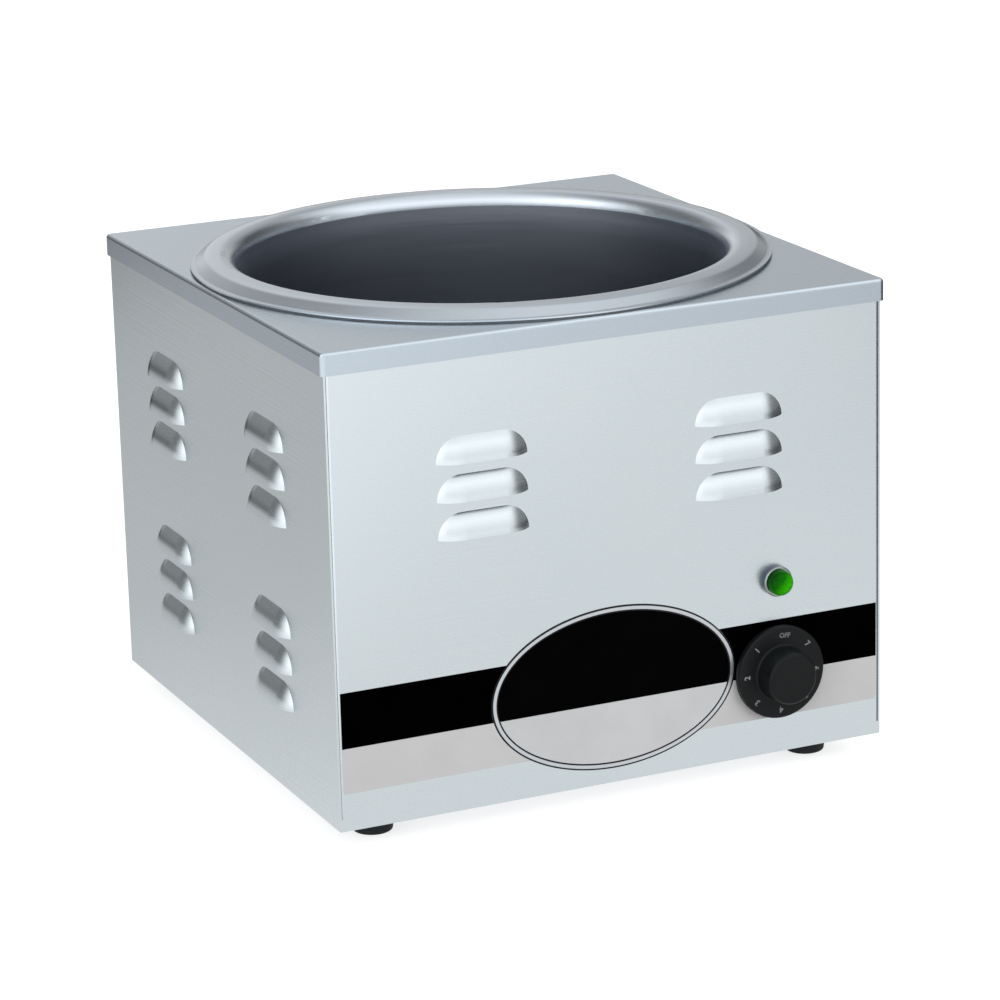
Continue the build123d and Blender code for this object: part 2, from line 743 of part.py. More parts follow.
# Ceramic beads and pins at the ends of the loop
with BuildPart() as element_terminals:
    with Locations(*[(x, y, leg_end) for x, y in leg_places]):
        Cylinder(INSULATOR_R, INSULATOR_LENGTH, align=HANGING)
        Cylinder(PIN_R, INSULATOR_LENGTH + PIN_LENGTH, align=HANGING)
element_terminals.part.label = "element_terminals"
export_step(element_terminals.part, "parts/element_terminals.step")

# Plate that presses the loop against the well
with BuildPart() as clamp_plate:
    with BuildSketch(Plane.XY.offset(plate_low)):
        Circle(clamp_plate_r)
        with Locations(*leg_slot_places):
            SlotCenterToCenter(LEG_SLOT, 2 * LEG_HOLE_R, rotation=90, mode=Mode.SUBTRACT)
        with PolarLocations(stud_place_r, STUD_COUNT, start_angle=STUD_FIRST_ANGLE):
            Circle(STUD_R + FIT, mode=Mode.SUBTRACT)
    extrude(amount=CLAMP_PLATE_T)
clamp_plate.part.label = "clamp_plate"
export_step(clamp_plate.part, "parts/clamp_plate.step")

# Insulation below the plate
with BuildPart() as insulation_disc:
    with BuildSketch(Plane.XY.offset(tray_floor)):
        Circle(clamp_plate_r)
        Circle(LIMITER_HOLE_R, mode=Mode.SUBTRACT)
        with Locations(*leg_slot_places):
            SlotCenterToCenter(LEG_SLOT, 2 * LEG_HOLE_R, rotation=90, mode=Mode.SUBTRACT)
        with PolarLocations(stud_place_r, STUD_COUNT, start_angle=STUD_FIRST_ANGLE):
            Circle(STUD_R + FIT, mode=Mode.SUBTRACT)
    extrude(amount=INSULATION_T)
insulation_disc.part.label = "insulation_disc"
export_step(insulation_disc.part, "parts/insulation_disc.step")

# Tray that holds the insulation
tray_inner_r = clamp_plate_r + WRAP_GAP
with BuildPart() as insulation_tray:
    with BuildSketch(Plane.XZ):
        with BuildLine():
            Polyline(
                (0, tray_under),
                (tray_inner_r + TRAY_SHEET, tray_under),
                (tray_inner_r + TRAY_SHEET, tray_floor + TRAY_WALL - TRAY_SHEET),
                (tray_inner_r + TRAY_LIP, tray_floor + TRAY_WALL - TRAY_SHEET),
                (tray_inner_r + TRAY_LIP, tray_floor + TRAY_WALL),
                (tray_inner_r, tray_floor + TRAY_WALL),
                (tray_inner_r, tray_floor),
                (0, tray_floor),
                close=True,
            )
        make_face()
    revolve(axis=Axis.Z)
    with BuildSketch(Plane.XY.offset(tray_under)):
        Circle(LIMITER_HOLE_R)
        with Locations(*leg_places):
            Circle(LEG_HOLE_R)
        with PolarLocations(stud_place_r, STUD_COUNT, start_angle=STUD_FIRST_ANGLE):
            Circle(STUD_R + FIT)
    extrude(amount=TRAY_SHEET, mode=Mode.SUBTRACT)
insulation_tray.part.label = "insulation_tray"
export_step(insulation_tray.part, "parts/insulation_tray.step")

# Studs welded under the well, and the nuts that hold tray, plate and loop
with BuildPart() as well_studs:
    with PolarLocations(stud_place_r, STUD_COUNT, start_angle=STUD_FIRST_ANGLE):
        with Locations((0, 0, well_under)):
            Cylinder(STUD_R, well_under - tray_under + STUD_END, align=HANGING)
well_studs.part.label = "well_studs"
export_step(well_studs.part, "parts/well_studs.step")

stud_nut = hex_nut(STUD_NUT_ACROSS, STUD_NUT_HEIGHT, STUD_R + RUN)
with BuildPart() as stud_nuts:
    with PolarLocations(stud_place_r, STUD_COUNT, start_angle=STUD_FIRST_ANGLE):
        with Locations((0, 0, tray_under)):
            add(stud_nut)
stud_nuts.part.label = "stud_nuts"
export_step(stud_nuts.part, "parts/stud_nuts.step")

# Limiter: a snap disc switch under the middle of the clamp plate, with two blades
limiter_low = plate_low - LIMITER_HEIGHT
limiter_blade_low = limiter_low - LIMITER_BLADE_LENGTH
with BuildPart() as limit_thermostat:
    with Locations((0, 0, plate_low)):
        Cylinder(LIMITER_R, LIMITER_HEIGHT, align=HANGING)
    with Locations((-LIMITER_BLADE_X, 0, limiter_low), (LIMITER_BLADE_X, 0, limiter_low)):
        Box(BLADE_T, BLADE_WIDTH, LIMITER_BLADE_LENGTH, align=HANGING)
limit_thermostat.part.label = "limit_thermostat"
export_step(limit_thermostat.part, "parts/limit_thermostat.step")

# Thermostat bulb on the wall of the well, with two saddle clips
bulb_angle = math.radians(BULB_ANGLE)
bulb_x = bulb_place_r * math.cos(bulb_angle)
bulb_y = bulb_place_r * math.sin(bulb_angle)

with BuildPart() as thermostat_bulb:
    with Locations((bulb_x, bulb_y, bulb_low)):
        Cylinder(BULB_R, BULB_LENGTH, align=STANDING)
    fillet(thermostat_bulb.faces().sort_by(Axis.Z)[-1].edges(), radius=BULB_R / 2)
thermostat_bulb.part.label = "thermostat_bulb"
export_step(thermostat_bulb.part, "parts/thermostat_bulb.step")

clip_hole_r = BULB_R + RUN
clip_heights = [bulb_low + BULB_LENGTH / 4, bulb_high - BULB_LENGTH / 4]
with BuildPart() as bulb_clips:
    for clip_height in clip_heights:
        with BuildSketch(Plane.XY.offset(clip_height)):
            with PolarLocations(bulb_place_r, 1, start_angle=BULB_ANGLE):
                Circle(clip_hole_r + BULB_CLIP_SHEET)
                Rectangle(
                    bulb_place_r - well_outer_r - WRAP_GAP,
                    2 * (clip_hole_r + BULB_CLIP_SHEET),
                    align=(Align.MAX, Align.CENTER),
                )
                Circle(clip_hole_r, mode=Mode.SUBTRACT)
                Rectangle(
                    bulb_place_r,
                    2 * clip_hole_r,
                    align=(Align.MAX, Align.CENTER),
                    mode=Mode.SUBTRACT,
                )
            Circle(well_outer_r + WRAP_GAP, mode=Mode.SUBTRACT)
        extrude(amount=BULB_CLIP_WIDTH)
bulb_clips.part.label = "bulb_clips"
export_step(bulb_clips.part, "parts/bulb_clips.step")

# Depths behind and in front of the front panel, at the dial
mount_back = MOUNT_SHEET - inner_face
case_back = mount_back + CASE_DEPTH
bush_front = -face - BUSH_REACH
dial_back = -face - DIAL_BACK_GAP
skirt_front = -face - DIAL_SKIRT_FRONT
dial_front = -face - DIAL_REACH
cavity_front = mount_back + CASE_WALL
cavity_back = case_back - CASE_WALL
collar_front = cavity_front + SHAFT_COLLAR_GAP
cam_front = collar_front + CAM_GAP
cam_back = cam_front + CAM_T
shaft_front = dial_front + SHAFT_END_GAP
diaphragm_front = cavity_back - DIAPHRAGM_T

# Thermostat mount: a plate behind the panel with a bush for the shaft
with BuildPart() as thermostat_mount:
    with BuildSketch(front_plane(dial_x, mount_back, dial_z)):
        Rectangle(MOUNT_WIDTH, MOUNT_HEIGHT)
    extrude(amount=MOUNT_SHEET)
    with BuildSketch(front_plane(dial_x, mount_back, dial_z)):
        Circle(BUSH_R)
    extrude(amount=mount_back - bush_front)
    with BuildSketch(front_plane(dial_x, mount_back, dial_z)):
        Circle(SHAFT_R + RUN)
    extrude(amount=mount_back - bush_front, mode=Mode.SUBTRACT)
    with BuildSketch(front_plane(dial_x, mount_back, dial_z)):
        with Locations((-DIAL_SCREW_PLACE, 0), (DIAL_SCREW_PLACE, 0)):
            Circle(DIAL_SCREW_R + RUN)
    extrude(amount=MOUNT_SHEET, mode=Mode.SUBTRACT)
thermostat_mount.part.label = "thermostat_mount"
export_step(thermostat_mount.part, "parts/thermostat_mount.step")

dial_screw = screw(DIAL_SCREW_R, DIAL_SCREW_LENGTH, DIAL_SCREW_HEAD_R, DIAL_SCREW_HEAD_H)
with BuildPart() as thermostat_screws:
    with Locations(*[Location((x, -face, z), (90, 0, 0)) for x, z in dial_screw_places]):
        add(dial_screw)
thermostat_screws.part.label = "thermostat_screws"
export_step(thermostat_screws.part, "parts/thermostat_screws.step")

# Thermostat case: moulded, open below, where its contacts come out
with BuildPart() as thermostat_case:
    with BuildSketch(front_plane(dial_x, case_back, dial_z)):
        Rectangle(CASE_WIDTH, CASE_HEIGHT)
    extrude(amount=CASE_DEPTH)
    with BuildSketch(front_plane(dial_x, cavity_back, dial_z - CASE_HEIGHT / 2)):
        Rectangle(
            CASE_WIDTH - 2 * CASE_SIDE_WALL,
            CASE_HEIGHT - CASE_WALL,
            align=(Align.CENTER, Align.MIN),
        )
    extrude(amount=cavity_back - cavity_front, mode=Mode.SUBTRACT)
    with BuildSketch(front_plane(dial_x, cavity_front, dial_z)):
        Circle(SHAFT_R + SHAFT_WALL_GAP)
    extrude(amount=CASE_WALL, mode=Mode.SUBTRACT)
    with BuildSketch(front_plane(dial_x, mount_back, dial_z)):
        with Locations((-DIAL_SCREW_PLACE, 0), (DIAL_SCREW_PLACE, 0)):
            Circle(DIAL_SCREW_R + FIT)
    extrude(amount=-CASE_SCREW_POCKET, mode=Mode.SUBTRACT)
    with BuildSketch(front_plane(dial_x + CAPILLARY_SIDE, case_back, dial_z)):
        Circle(CAPILLARY_R + FIT)
    extrude(amount=CASE_WALL, mode=Mode.SUBTRACT)
thermostat_case.part.label = "thermostat_case"
export_step(thermostat_case.part, "parts/thermostat_case.step")

# Shaft with a collar behind the case wall and a flat for the dial
flat_back = dial_back - DIAL_RECESS_DEPTH + SHAFT_FLAT_PAST_DIAL
with BuildPart() as thermostat_shaft:
    with BuildSketch(front_plane(dial_x, cam_back, dial_z)):
        Circle(SHAFT_R)
    extrude(amount=cam_back - shaft_front)
    with BuildSketch(front_plane(dial_x, collar_front + SHAFT_COLLAR_T, dial_z)):
        Circle(SHAFT_COLLAR_R)
    extrude(amount=SHAFT_COLLAR_T)
    with BuildSketch(front_plane(dial_x, shaft_front, dial_z + SHAFT_FLAT)):
        Rectangle(2 * SHAFT_R, SHAFT_R, align=(Align.CENTER, Align.MIN))
    extrude(amount=shaft_front - flat_back, mode=Mode.SUBTRACT)
thermostat_shaft.part.label = "thermostat_shaft"
export_step(thermostat_shaft.part, "parts/thermostat_shaft.step")

# Cam on the shaft
with BuildPart() as thermostat_cam:
    with BuildSketch(front_plane(dial_x, cam_back, dial_z)):
        with Locations((0, CAM_OFFSET)):
            Circle(CAM_R)
        Circle(SHAFT_R, mode=Mode.SUBTRACT)
    extrude(amount=CAM_T)
thermostat_cam.part.label = "thermostat_cam"
export_step(thermostat_cam.part, "parts/thermostat_cam.step")

# Diaphragm capsule against the back wall of the case
with BuildPart() as thermostat_diaphragm:
    with BuildSketch(front_plane(dial_x, cavity_back, dial_z)):
        Circle(DIAPHRAGM_R)
    extrude(amount=DIAPHRAGM_T)
    fillet(thermostat_diaphragm.faces().sort_by(Axis.Y)[0].edges(), radius=DIAPHRAGM_T / 3)
thermostat_diaphragm.part.label = "thermostat_diaphragm"
export_step(thermostat_diaphragm.part, "parts/thermostat_diaphragm.step")

# Two contact blades on the side walls of the case, and the spring blade between them
cavity_half = CASE_WIDTH / 2 - CASE_SIDE_WALL
contact_y = diaphragm_front - SWITCH_BLADE_GAP - BLADE_WIDTH / 2
contact_low = dial_z - CASE_HEIGHT / 2 - CONTACT_DROP
contact_places = [dial_x - cavity_half + BLADE_T / 2, dial_x + cavity_half - BLADE_T / 2]
with BuildPart() as thermostat_contacts:
    with Locations(*[(x, contact_y, contact_low) for x in contact_places]):
        Box(BLADE_T, BLADE_WIDTH, CONTACT_LENGTH, align=STANDING)
thermostat_contacts.part.label = "thermostat_contacts"
export_step(thermostat_contacts.part, "parts/thermostat_contacts.step")

switch_z = contact_low + CONTACT_LENGTH - SWITCH_BLADE_HEIGHT / 2
switch_length = 2 * (cavity_half - BLADE_T) - FIT
with BuildPart() as switch_blade:
    with Locations((dial_x - FIT / 2, diaphragm_front - SWITCH_BLADE_GAP, switch_z)):
        Box(switch_length, SWITCH_BLADE_T, SWITCH_BLADE_HEIGHT, align=CENTRED)
switch_blade.part.label = "switch_blade"
export_step(switch_blade.part, "parts/switch_blade.step")

# Dial: a flat skirt with a round grip, hollow behind, with a bore that takes shaft and spring
with BuildPart() as control_knob:
    with BuildSketch(front_plane(dial_x, dial_back, dial_z)):
        Circle(DIAL_SKIRT_R)
    extrude(amount=dial_back - skirt_front)
    fillet(control_knob.faces().sort_by(Axis.Y)[0].edges(), radius=DIAL_EDGE)
    with BuildSketch(front_plane(dial_x, skirt_front, dial_z)):
        Circle(DIAL_HUB_R)
    with BuildSketch(front_plane(dial_x, dial_front, dial_z)):
        Circle(DIAL_HUB_TIP_R)
    loft()
    fillet(control_knob.faces().sort_by(Axis.Y)[0].edges(), radius=DIAL_HUB_EDGE)
    with BuildSketch(front_plane(dial_x, dial_back, dial_z)):
        Circle(DIAL_RECESS_R)
    extrude(amount=DIAL_RECESS_DEPTH, mode=Mode.SUBTRACT)
    with BuildSketch(front_plane(dial_x, dial_back, dial_z)):
        Circle(SHAFT_R + RUN)
        with Locations((0, SHAFT_FLAT + SPRING_T + 2 * RUN)):
            Rectangle(
                4 * SHAFT_R,
                2 * SHAFT_R,
                align=(Align.CENTER, Align.MIN),
                mode=Mode.SUBTRACT,
            )
    extrude(amount=dial_back - shaft_front + FIT, mode=Mode.SUBTRACT)
control_knob.part.label = "control_knob"
export_step(control_knob.part, "parts/control_knob.step")

# Leaf spring between the flat of the shaft and the bore of the dial
with BuildPart() as knob_spring_clip:
    with BuildSketch(front_plane(dial_x, shaft_front + SPRING_LENGTH, dial_z + SHAFT_FLAT + RUN)):
        Rectangle(SPRING_WIDTH, SPRING_T, align=(Align.CENTER, Align.MIN))
    extrude(amount=SPRING_LENGTH)
knob_spring_clip.part.label = "knob_spring_clip"
export_step(knob_spring_clip.part, "parts/knob_spring_clip.step")

# Pilot light: a chromed bezel with a sleeve through the panel
sleeve_r = PILOT_HOLE_R - FIT
sleeve_back = BEZEL_SLEEVE - face
with BuildPart() as pilot_bezel:
    with BuildSketch(front_plane(dial_x, -face, pilot_z)):
        Circle(BEZEL_R)
    extrude(amount=BEZEL_HEIGHT)
    fillet(pilot_bezel.faces().sort_by(Axis.Y)[0].edges(), radius=BEZEL_EDGE)
    with BuildSketch(front_plane(dial_x, sleeve_back, pilot_z)):
        Circle(sleeve_r)
    extrude(amount=BEZEL_SLEEVE)
    with BuildSketch(front_plane(dial_x, -face - BEZEL_BASE, pilot_z)):
        Circle(LENS_R + FIT)
    extrude(amount=BEZEL_HEIGHT - BEZEL_BASE, mode=Mode.SUBTRACT)
    with BuildSketch(front_plane(dial_x, sleeve_back, pilot_z)):
        Circle(BEZEL_BORE_R)
    extrude(amount=BEZEL_SLEEVE + BEZEL_BASE, mode=Mode.SUBTRACT)
pilot_bezel.part.label = "pilot_bezel"
export_step(pilot_bezel.part, "parts/pilot_bezel.step")

# Lens: a hollow cap with a domed front, seated in the bezel
lens_back = -face - BEZEL_BASE
lens_front = -face - LENS_REACH
with BuildPart() as pilot_lens:
    with BuildSketch(front_plane(dial_x, lens_back, pilot_z)):
        Circle(LENS_R)
    extrude(amount=lens_back - lens_front)
    fillet(pilot_lens.faces().sort_by(Axis.Y)[0].edges(), radius=LENS_DOME)
    with BuildSketch(front_plane(dial_x, lens_back, pilot_z)):
        Circle(LENS_R - LENS_WALL)
    extrude(amount=lens_back - lens_front - LENS_DOME, mode=Mode.SUBTRACT)
pilot_lens.part.label = "pilot_lens"
export_step(pilot_lens.part, "parts/pilot_lens.step")

pilot_back = PILOT_BODY_LENGTH - face
with BuildPart() as pilot_body:
    with BuildSketch(front_plane(dial_x, pilot_back, pilot_z)):
        Circle(BEZEL_BORE_R - RUN)
    extrude(amount=PILOT_BODY_LENGTH + BEZEL_BASE)
pilot_body.part.label = "pilot_body"
export_step(pilot_body.part, "parts/pilot_body.step")

with BuildPart() as pilot_retainer:
    with BuildSketch(front_plane(dial_x, RETAINER_T - inner_face, pilot_z)):
        RegularPolygon(radius=RETAINER_ACROSS / 2, side_count=6, major_radius=False)
        Circle(sleeve_r + RUN, mode=Mode.SUBTRACT)
    extrude(amount=RETAINER_T)
pilot_retainer.part.label = "pilot_retainer"
export_step(pilot_retainer.part, "parts/pilot_retainer.step")

# Small lamp inside the lens, on the end of the body
neon_length = lens_back - lens_front - LENS_DOME - NEON_GAP
with BuildPart() as neon_bulb:
    with BuildSketch(front_plane(dial_x, lens_back, pilot_z)):
        Circle(NEON_R)
    extrude(amount=neon_length)
    fillet(neon_bulb.faces().sort_by(Axis.Y)[0].edges(), radius=NEON_R / 2)
neon_bulb.part.label = "neon_bulb"
export_step(neon_bulb.part, "parts/neon_bulb.step")

# Printed stripes across the flat of the front, cut round the badge, the dial bush and its screws
stripe_half = inner_face - RETURN_BEND
badge_z = body_low + BADGE_HEIGHT
badge_half_width = dial_x - BADGE_TO_DIAL - BADGE_X
stripes = {
    "stripe_black": (body_low + BLACK_STRIPE_LOW, body_low + BLACK_STRIPE_HIGH),
    "stripe_grey": (body_low + GREY_STRIPE_LOW, body_low + BLACK_STRIPE_LOW),
}
for stripe_name, (stripe_low, stripe_high) in stripes.items():
    with BuildPart() as stripe:
        with BuildSketch(front_plane(0, -face, 0)):
            with Locations((0, stripe_low)):
                Rectangle(
                    2 * stripe_half,
                    stripe_high - stripe_low,
                    align=(Align.CENTER, Align.MIN),
                )
            with Locations((BADGE_X, badge_z)):
                Ellipse(
                    badge_half_width + BADGE_GAP,
                    BADGE_HALF_HEIGHT + BADGE_GAP,
                    mode=Mode.SUBTRACT,
                )
            with Locations((dial_x, dial_z)):
                Circle(BUSH_R + PRINT_HOLE_GAP, mode=Mode.SUBTRACT)
            with Locations(*dial_screw_places):
                Circle(DIAL_SCREW_HEAD_R + PRINT_HOLE_GAP, mode=Mode.SUBTRACT)
        extrude(amount=FILM)
    stripe.part.label = stripe_name
    export_step(stripe.part, f"parts/{stripe_name}.step")

with BuildPart() as badge:
    with BuildSketch(front_plane(BADGE_X, -face, badge_z)):
        Ellipse(badge_half_width, BADGE_HALF_HEIGHT)
    extrude(amount=BADGE_FILM)
badge.part.label = "badge"
export_step(badge.part, "parts/badge.step")

# Cord gland through the back panel, with its lock nut inside
gland_inside = inner_face - GLAND_INSIDE
gland_tip = face + GLAND_REACH
with BuildPart() as cord_gland:
    with BuildSketch(front_plane(gland_x, face, gland_z)):
        Circle(GLAND_THREAD_R)
    extrude(amount=face - gland_inside)
    with BuildSketch(front_plane(gland_x, face + GLAND_HEX_T, gland_z)):
        RegularPolygon(radius=GLAND_HEX_ACROSS / 2, side_count=6, major_radius=False)
    extrude(amount=GLAND_HEX_T)
    with BuildSketch(front_plane(gland_x, face + GLAND_HEX_T, gland_z)):
        Circle(GLAND_CAP_R)
    with BuildSketch(front_plane(gland_x, gland_tip, gland_z)):
        Circle(GLAND_TIP_R)
    loft()
    with BuildSketch(front_plane(gland_x, gland_tip, gland_z)):
        Circle(GLAND_BORE_R)
    extrude(amount=gland_tip - gland_inside, mode=Mode.SUBTRACT)
cord_gland.part.label = "cord_gland"
export_step(cord_gland.part, "parts/cord_gland.step")

with BuildPart() as gland_nut:
    with BuildSketch(front_plane(gland_x, inner_face, gland_z)):
        RegularPolygon(radius=GLAND_HEX_ACROSS / 2, side_count=6, major_radius=False)
        Circle(GLAND_THREAD_R + RUN, mode=Mode.SUBTRACT)
    extrude(amount=GLAND_NUT_T)
gland_nut.part.label = "gland_nut"
export_step(gland_nut.part, "parts/gland_nut.step")

# Terminal block on the bottom plate, with one brass bar for each way
way_places = [gland_x + BLOCK_PITCH * (way - (BLOCK_WAYS - 1) / 2) for way in range(BLOCK_WAYS)]
bar_z = plate_top + BLOCK_HEIGHT / 2
with BuildPart() as terminal_block:
    with Locations((gland_x, block_y, plate_top)):
        Box(BLOCK_WIDTH, BLOCK_DEPTH, BLOCK_HEIGHT, align=STANDING)
    with Locations(*[(x, block_y, bar_z) for x in way_places]):
        Box(BAR_SIDE, BLOCK_DEPTH, BAR_SIDE, mode=Mode.SUBTRACT)
terminal_block.part.label = "terminal_block"
export_step(terminal_block.part, "parts/terminal_block.step")

with BuildPart() as terminal_bars:
    with Locations(*[(x, block_y, bar_z) for x in way_places]):
        Box(BAR_SIDE - FIT, BLOCK_DEPTH + 2 * BAR_OVERHANG, BAR_SIDE - FIT)
terminal_bars.part.label = "terminal_bars"
export_step(terminal_bars.part, "parts/terminal_bars.step")

# Earth stud with its nut
with BuildPart() as earth_stud:
    with Locations((earth_x, earth_y, FOOT_HEIGHT)):
        Cylinder(EARTH_STUD_R, SHEET + EARTH_STUD_HEIGHT, align=STANDING)
    with BuildSketch(Plane.XY.offset(plate_top)):
        with Locations((earth_x, earth_y)):
            RegularPolygon(radius=EARTH_NUT_ACROSS / 2, side_count=6, major_radius=False)
    extrude(amount=EARTH_NUT_HEIGHT)
earth_stud.part.label = "earth_stud"
export_step(earth_stud.part, "parts/earth_stud.step")

# Leads inside the housing. Each runs whole between the two things that it joins.
bar_front = block_y - BLOCK_DEPTH / 2 - BAR_OVERHANG
line_x, neutral_x, earth_way_x = way_places
neutral_left = neutral_x - LEAD_PAIR_STEP
neutral_right = neutral_x + LEAD_PAIR_STEP
block_turn = bar_front - BLOCK_RUN
pin_y = lead_y - PIN_R
low_run = plate_top + LOW_RUN
middle_run = plate_top + MIDDLE_RUN
high_run = plate_top + HIGH_RUN
contact_left, contact_right = contact_places
contact_join = contact_low + CONTACT_GRIP
front_turn_x = dial_x - FRONT_TURN_X
front_turn_y = contact_y + FRONT_TURN_Y
pilot_left = dial_x - PILOT_LEAD_SPREAD
pilot_right = dial_x + PILOT_LEAD_SPREAD
pilot_step_x = dial_x - PILOT_STEP_X
behind_case = case_back + LEAD_PAST_CASE
element_left = -LOOP_LEAD_X
element_right = LOOP_LEAD_X

leads = {
    "lead_line": [
        (line_x, bar_front, bar_z),
        (line_x, block_turn, bar_z),
        (line_x + LINE_TURN_X, bar_front - LINE_TURN_Y, low_run),
        (front_turn_x, front_turn_y, low_run),
        (contact_right, contact_y, low_run),
        (contact_right, contact_y, contact_low),
    ],
    "lead_switched": [
        (contact_left, contact_y, contact_low),
        (contact_left, contact_y, high_run),
        (front_turn_x, front_turn_y, high_run),
        (element_left, pin_y - ELEMENT_RUN, high_run),
        (element_left, pin_y, high_run),
    ],
    "lead_limiter": [
        (element_right, 2 * PIN_R + pin_y, high_run),
        (element_right, -2 * LIMITER_RUN, high_run),
        (LIMITER_BLADE_X, -LIMITER_RUN, high_run),
        (LIMITER_BLADE_X, 0, high_run),
        (LIMITER_BLADE_X, 0, limiter_blade_low),
    ],
    "lead_neutral": [
        (-LIMITER_BLADE_X, 0, limiter_blade_low),
        (-LIMITER_BLADE_X, 0, high_run),
        (-LIMITER_BLADE_X - NEUTRAL_TURN_X, NEUTRAL_TURN_Y, high_run),
        (neutral_left, block_turn, bar_z),
        (neutral_left, bar_front, bar_z),
    ],
    "lead_pilot_live": [
        (pilot_left, pilot_back, pilot_z),
        (pilot_left, behind_case, pilot_z),
        (pilot_left, behind_case, dial_z + PILOT_STEP_Z),
        (pilot_step_x, behind_case, contact_join),
        (contact_left, behind_case, contact_join),
        (contact_left, contact_y + BLADE_WIDTH / 2, contact_join),
    ],
    "lead_pilot_neutral": [
        (pilot_right, pilot_back, pilot_z),
        (pilot_right, behind_case + LEAD_STEP, pilot_z),
        (pilot_right, behind_case + LEAD_STEP, middle_run),
        (pilot_step_x, behind_case + PILOT_TURN_Y, middle_run),
        (PILOT_BACK_X, PILOT_BACK_Y, middle_run),
        (earth_x, block_turn, middle_run),
        (neutral_right, block_turn + 2 * LEAD_STEP, bar_z),
        (neutral_right, bar_front, bar_z),
    ],
    "lead_earth": [
        (earth_way_x, bar_front, bar_z),
        (earth_way_x, bar_front - EARTH_RUN, bar_z),
        (earth_x, bar_front - EARTH_RUN, bar_z),
        (earth_x, earth_y - EARTH_STUD_R, bar_z),
    ],
}
for lead_name, lead_points in leads.items():
    with BuildPart() as lead:
        add(tube(lead_points, LEAD_R, LEAD_BEND))
    lead.part.label = lead_name
    export_step(lead.part, f"parts/{lead_name}.step")

# Capillary tube from the diaphragm through the case wall to the foot of the bulb
capillary_points = [
    (dial_x + CAPILLARY_SIDE, cavity_back, dial_z),
    (dial_x + CAPILLARY_SIDE, behind_case, dial_z),
    (dial_x + CAPILLARY_OUT, behind_case + CAPILLARY_BACK, dial_z + CAPILLARY_RISE),
    (bulb_x + CAPILLARY_BULGE, bulb_y - CAPILLARY_BACK, dial_z + 2 * CAPILLARY_RISE),
    (bulb_x, bulb_y, dial_z + 3 * CAPILLARY_RISE),
    (bulb_x, bulb_y, bulb_low),
]
with BuildPart() as capillary_tube:
    add(tube(capillary_points, CAPILLARY_R, LEAD_BEND))
capillary_tube.part.label = "capillary_tube"
export_step(capillary_tube.part, "parts/capillary_tube.step")
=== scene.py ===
import bpy
import bmesh
import json
import math
from mathutils import Matrix, Vector


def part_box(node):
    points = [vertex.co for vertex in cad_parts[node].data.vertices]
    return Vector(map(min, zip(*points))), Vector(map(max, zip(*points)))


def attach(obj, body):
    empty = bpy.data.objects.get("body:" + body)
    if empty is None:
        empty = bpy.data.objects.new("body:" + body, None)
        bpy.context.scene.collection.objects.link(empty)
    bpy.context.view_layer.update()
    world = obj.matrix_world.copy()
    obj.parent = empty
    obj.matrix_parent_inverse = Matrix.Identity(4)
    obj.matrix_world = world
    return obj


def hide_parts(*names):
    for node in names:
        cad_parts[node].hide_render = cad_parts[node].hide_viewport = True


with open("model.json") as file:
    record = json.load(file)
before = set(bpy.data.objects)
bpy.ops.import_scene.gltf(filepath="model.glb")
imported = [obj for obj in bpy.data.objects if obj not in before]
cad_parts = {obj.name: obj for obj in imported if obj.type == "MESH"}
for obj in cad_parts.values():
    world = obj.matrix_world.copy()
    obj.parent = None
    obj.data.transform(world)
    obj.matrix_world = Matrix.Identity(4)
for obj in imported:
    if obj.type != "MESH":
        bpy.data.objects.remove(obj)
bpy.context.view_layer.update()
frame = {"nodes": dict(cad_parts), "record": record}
nodes = frame["nodes"]
MM = 0.001

# Camera: the photograph's viewing angle, found by least squares on the corners of deck and body
CAMERA_PLACE = (-0.86209, -1.92552, 0.74292)
CAMERA_YAW = 0.42417
CAMERA_PITCH = 0.284
CAMERA_ROLL = -0.02619
CAMERA_LENS = 142.885


def make_camera():
    """A camera whose picture plane is turned by yaw, pitch and roll."""
    data = bpy.data.cameras.new("camera")
    data.lens = CAMERA_LENS
    data.sensor_width = 36.0
    data.sensor_fit = "AUTO"
    data.clip_start = 0.05
    data.clip_end = 60.0
    camera = bpy.data.objects.new("camera", data)
    bpy.context.scene.collection.objects.link(camera)
    sy, cy = math.sin(CAMERA_YAW), math.cos(CAMERA_YAW)
    sp, cp = math.sin(CAMERA_PITCH), math.cos(CAMERA_PITCH)
    forward = Vector((sy * cp, cy * cp, -sp))
    right = Vector((cy, -sy, 0))
    up = right.cross(forward)
    cr, sr = math.cos(CAMERA_ROLL), math.sin(CAMERA_ROLL)
    turned_right = cr * right + sr * up
    turned_up = cr * up - sr * right
    matrix = Matrix((turned_right, turned_up, -forward)).transposed().to_4x4()
    matrix.translation = Vector(CAMERA_PLACE)
    camera.matrix_world = matrix
    bpy.context.scene.camera = camera


# Materials
def new_material(name):
    """An empty node material with its Principled shader."""
    material = bpy.data.materials.new(name)
    material.use_nodes = True
    tree = material.node_tree
    tree.nodes.clear()
    output = tree.nodes.new("ShaderNodeOutputMaterial")
    shader = tree.nodes.new("ShaderNodeBsdfPrincipled")
    tree.links.new(shader.outputs["BSDF"], output.inputs["Surface"])
    return material, tree, shader


def coordinates(tree, scale):
    """Object coordinates in metres, stretched by scale."""
    place = tree.nodes.new("ShaderNodeTexCoord")
    mapping = tree.nodes.new("ShaderNodeMapping")
    mapping.inputs["Scale"].default_value = scale
    tree.links.new(place.outputs["Object"], mapping.inputs["Vector"])
    return mapping.outputs["Vector"]


def place_parts(tree):
    """Object coordinates in metres as three values."""
    split = tree.nodes.new("ShaderNodeSeparateXYZ")
    tree.links.new(tree.nodes.new("ShaderNodeTexCoord").outputs["Object"], split.inputs["Vector"])
    return split


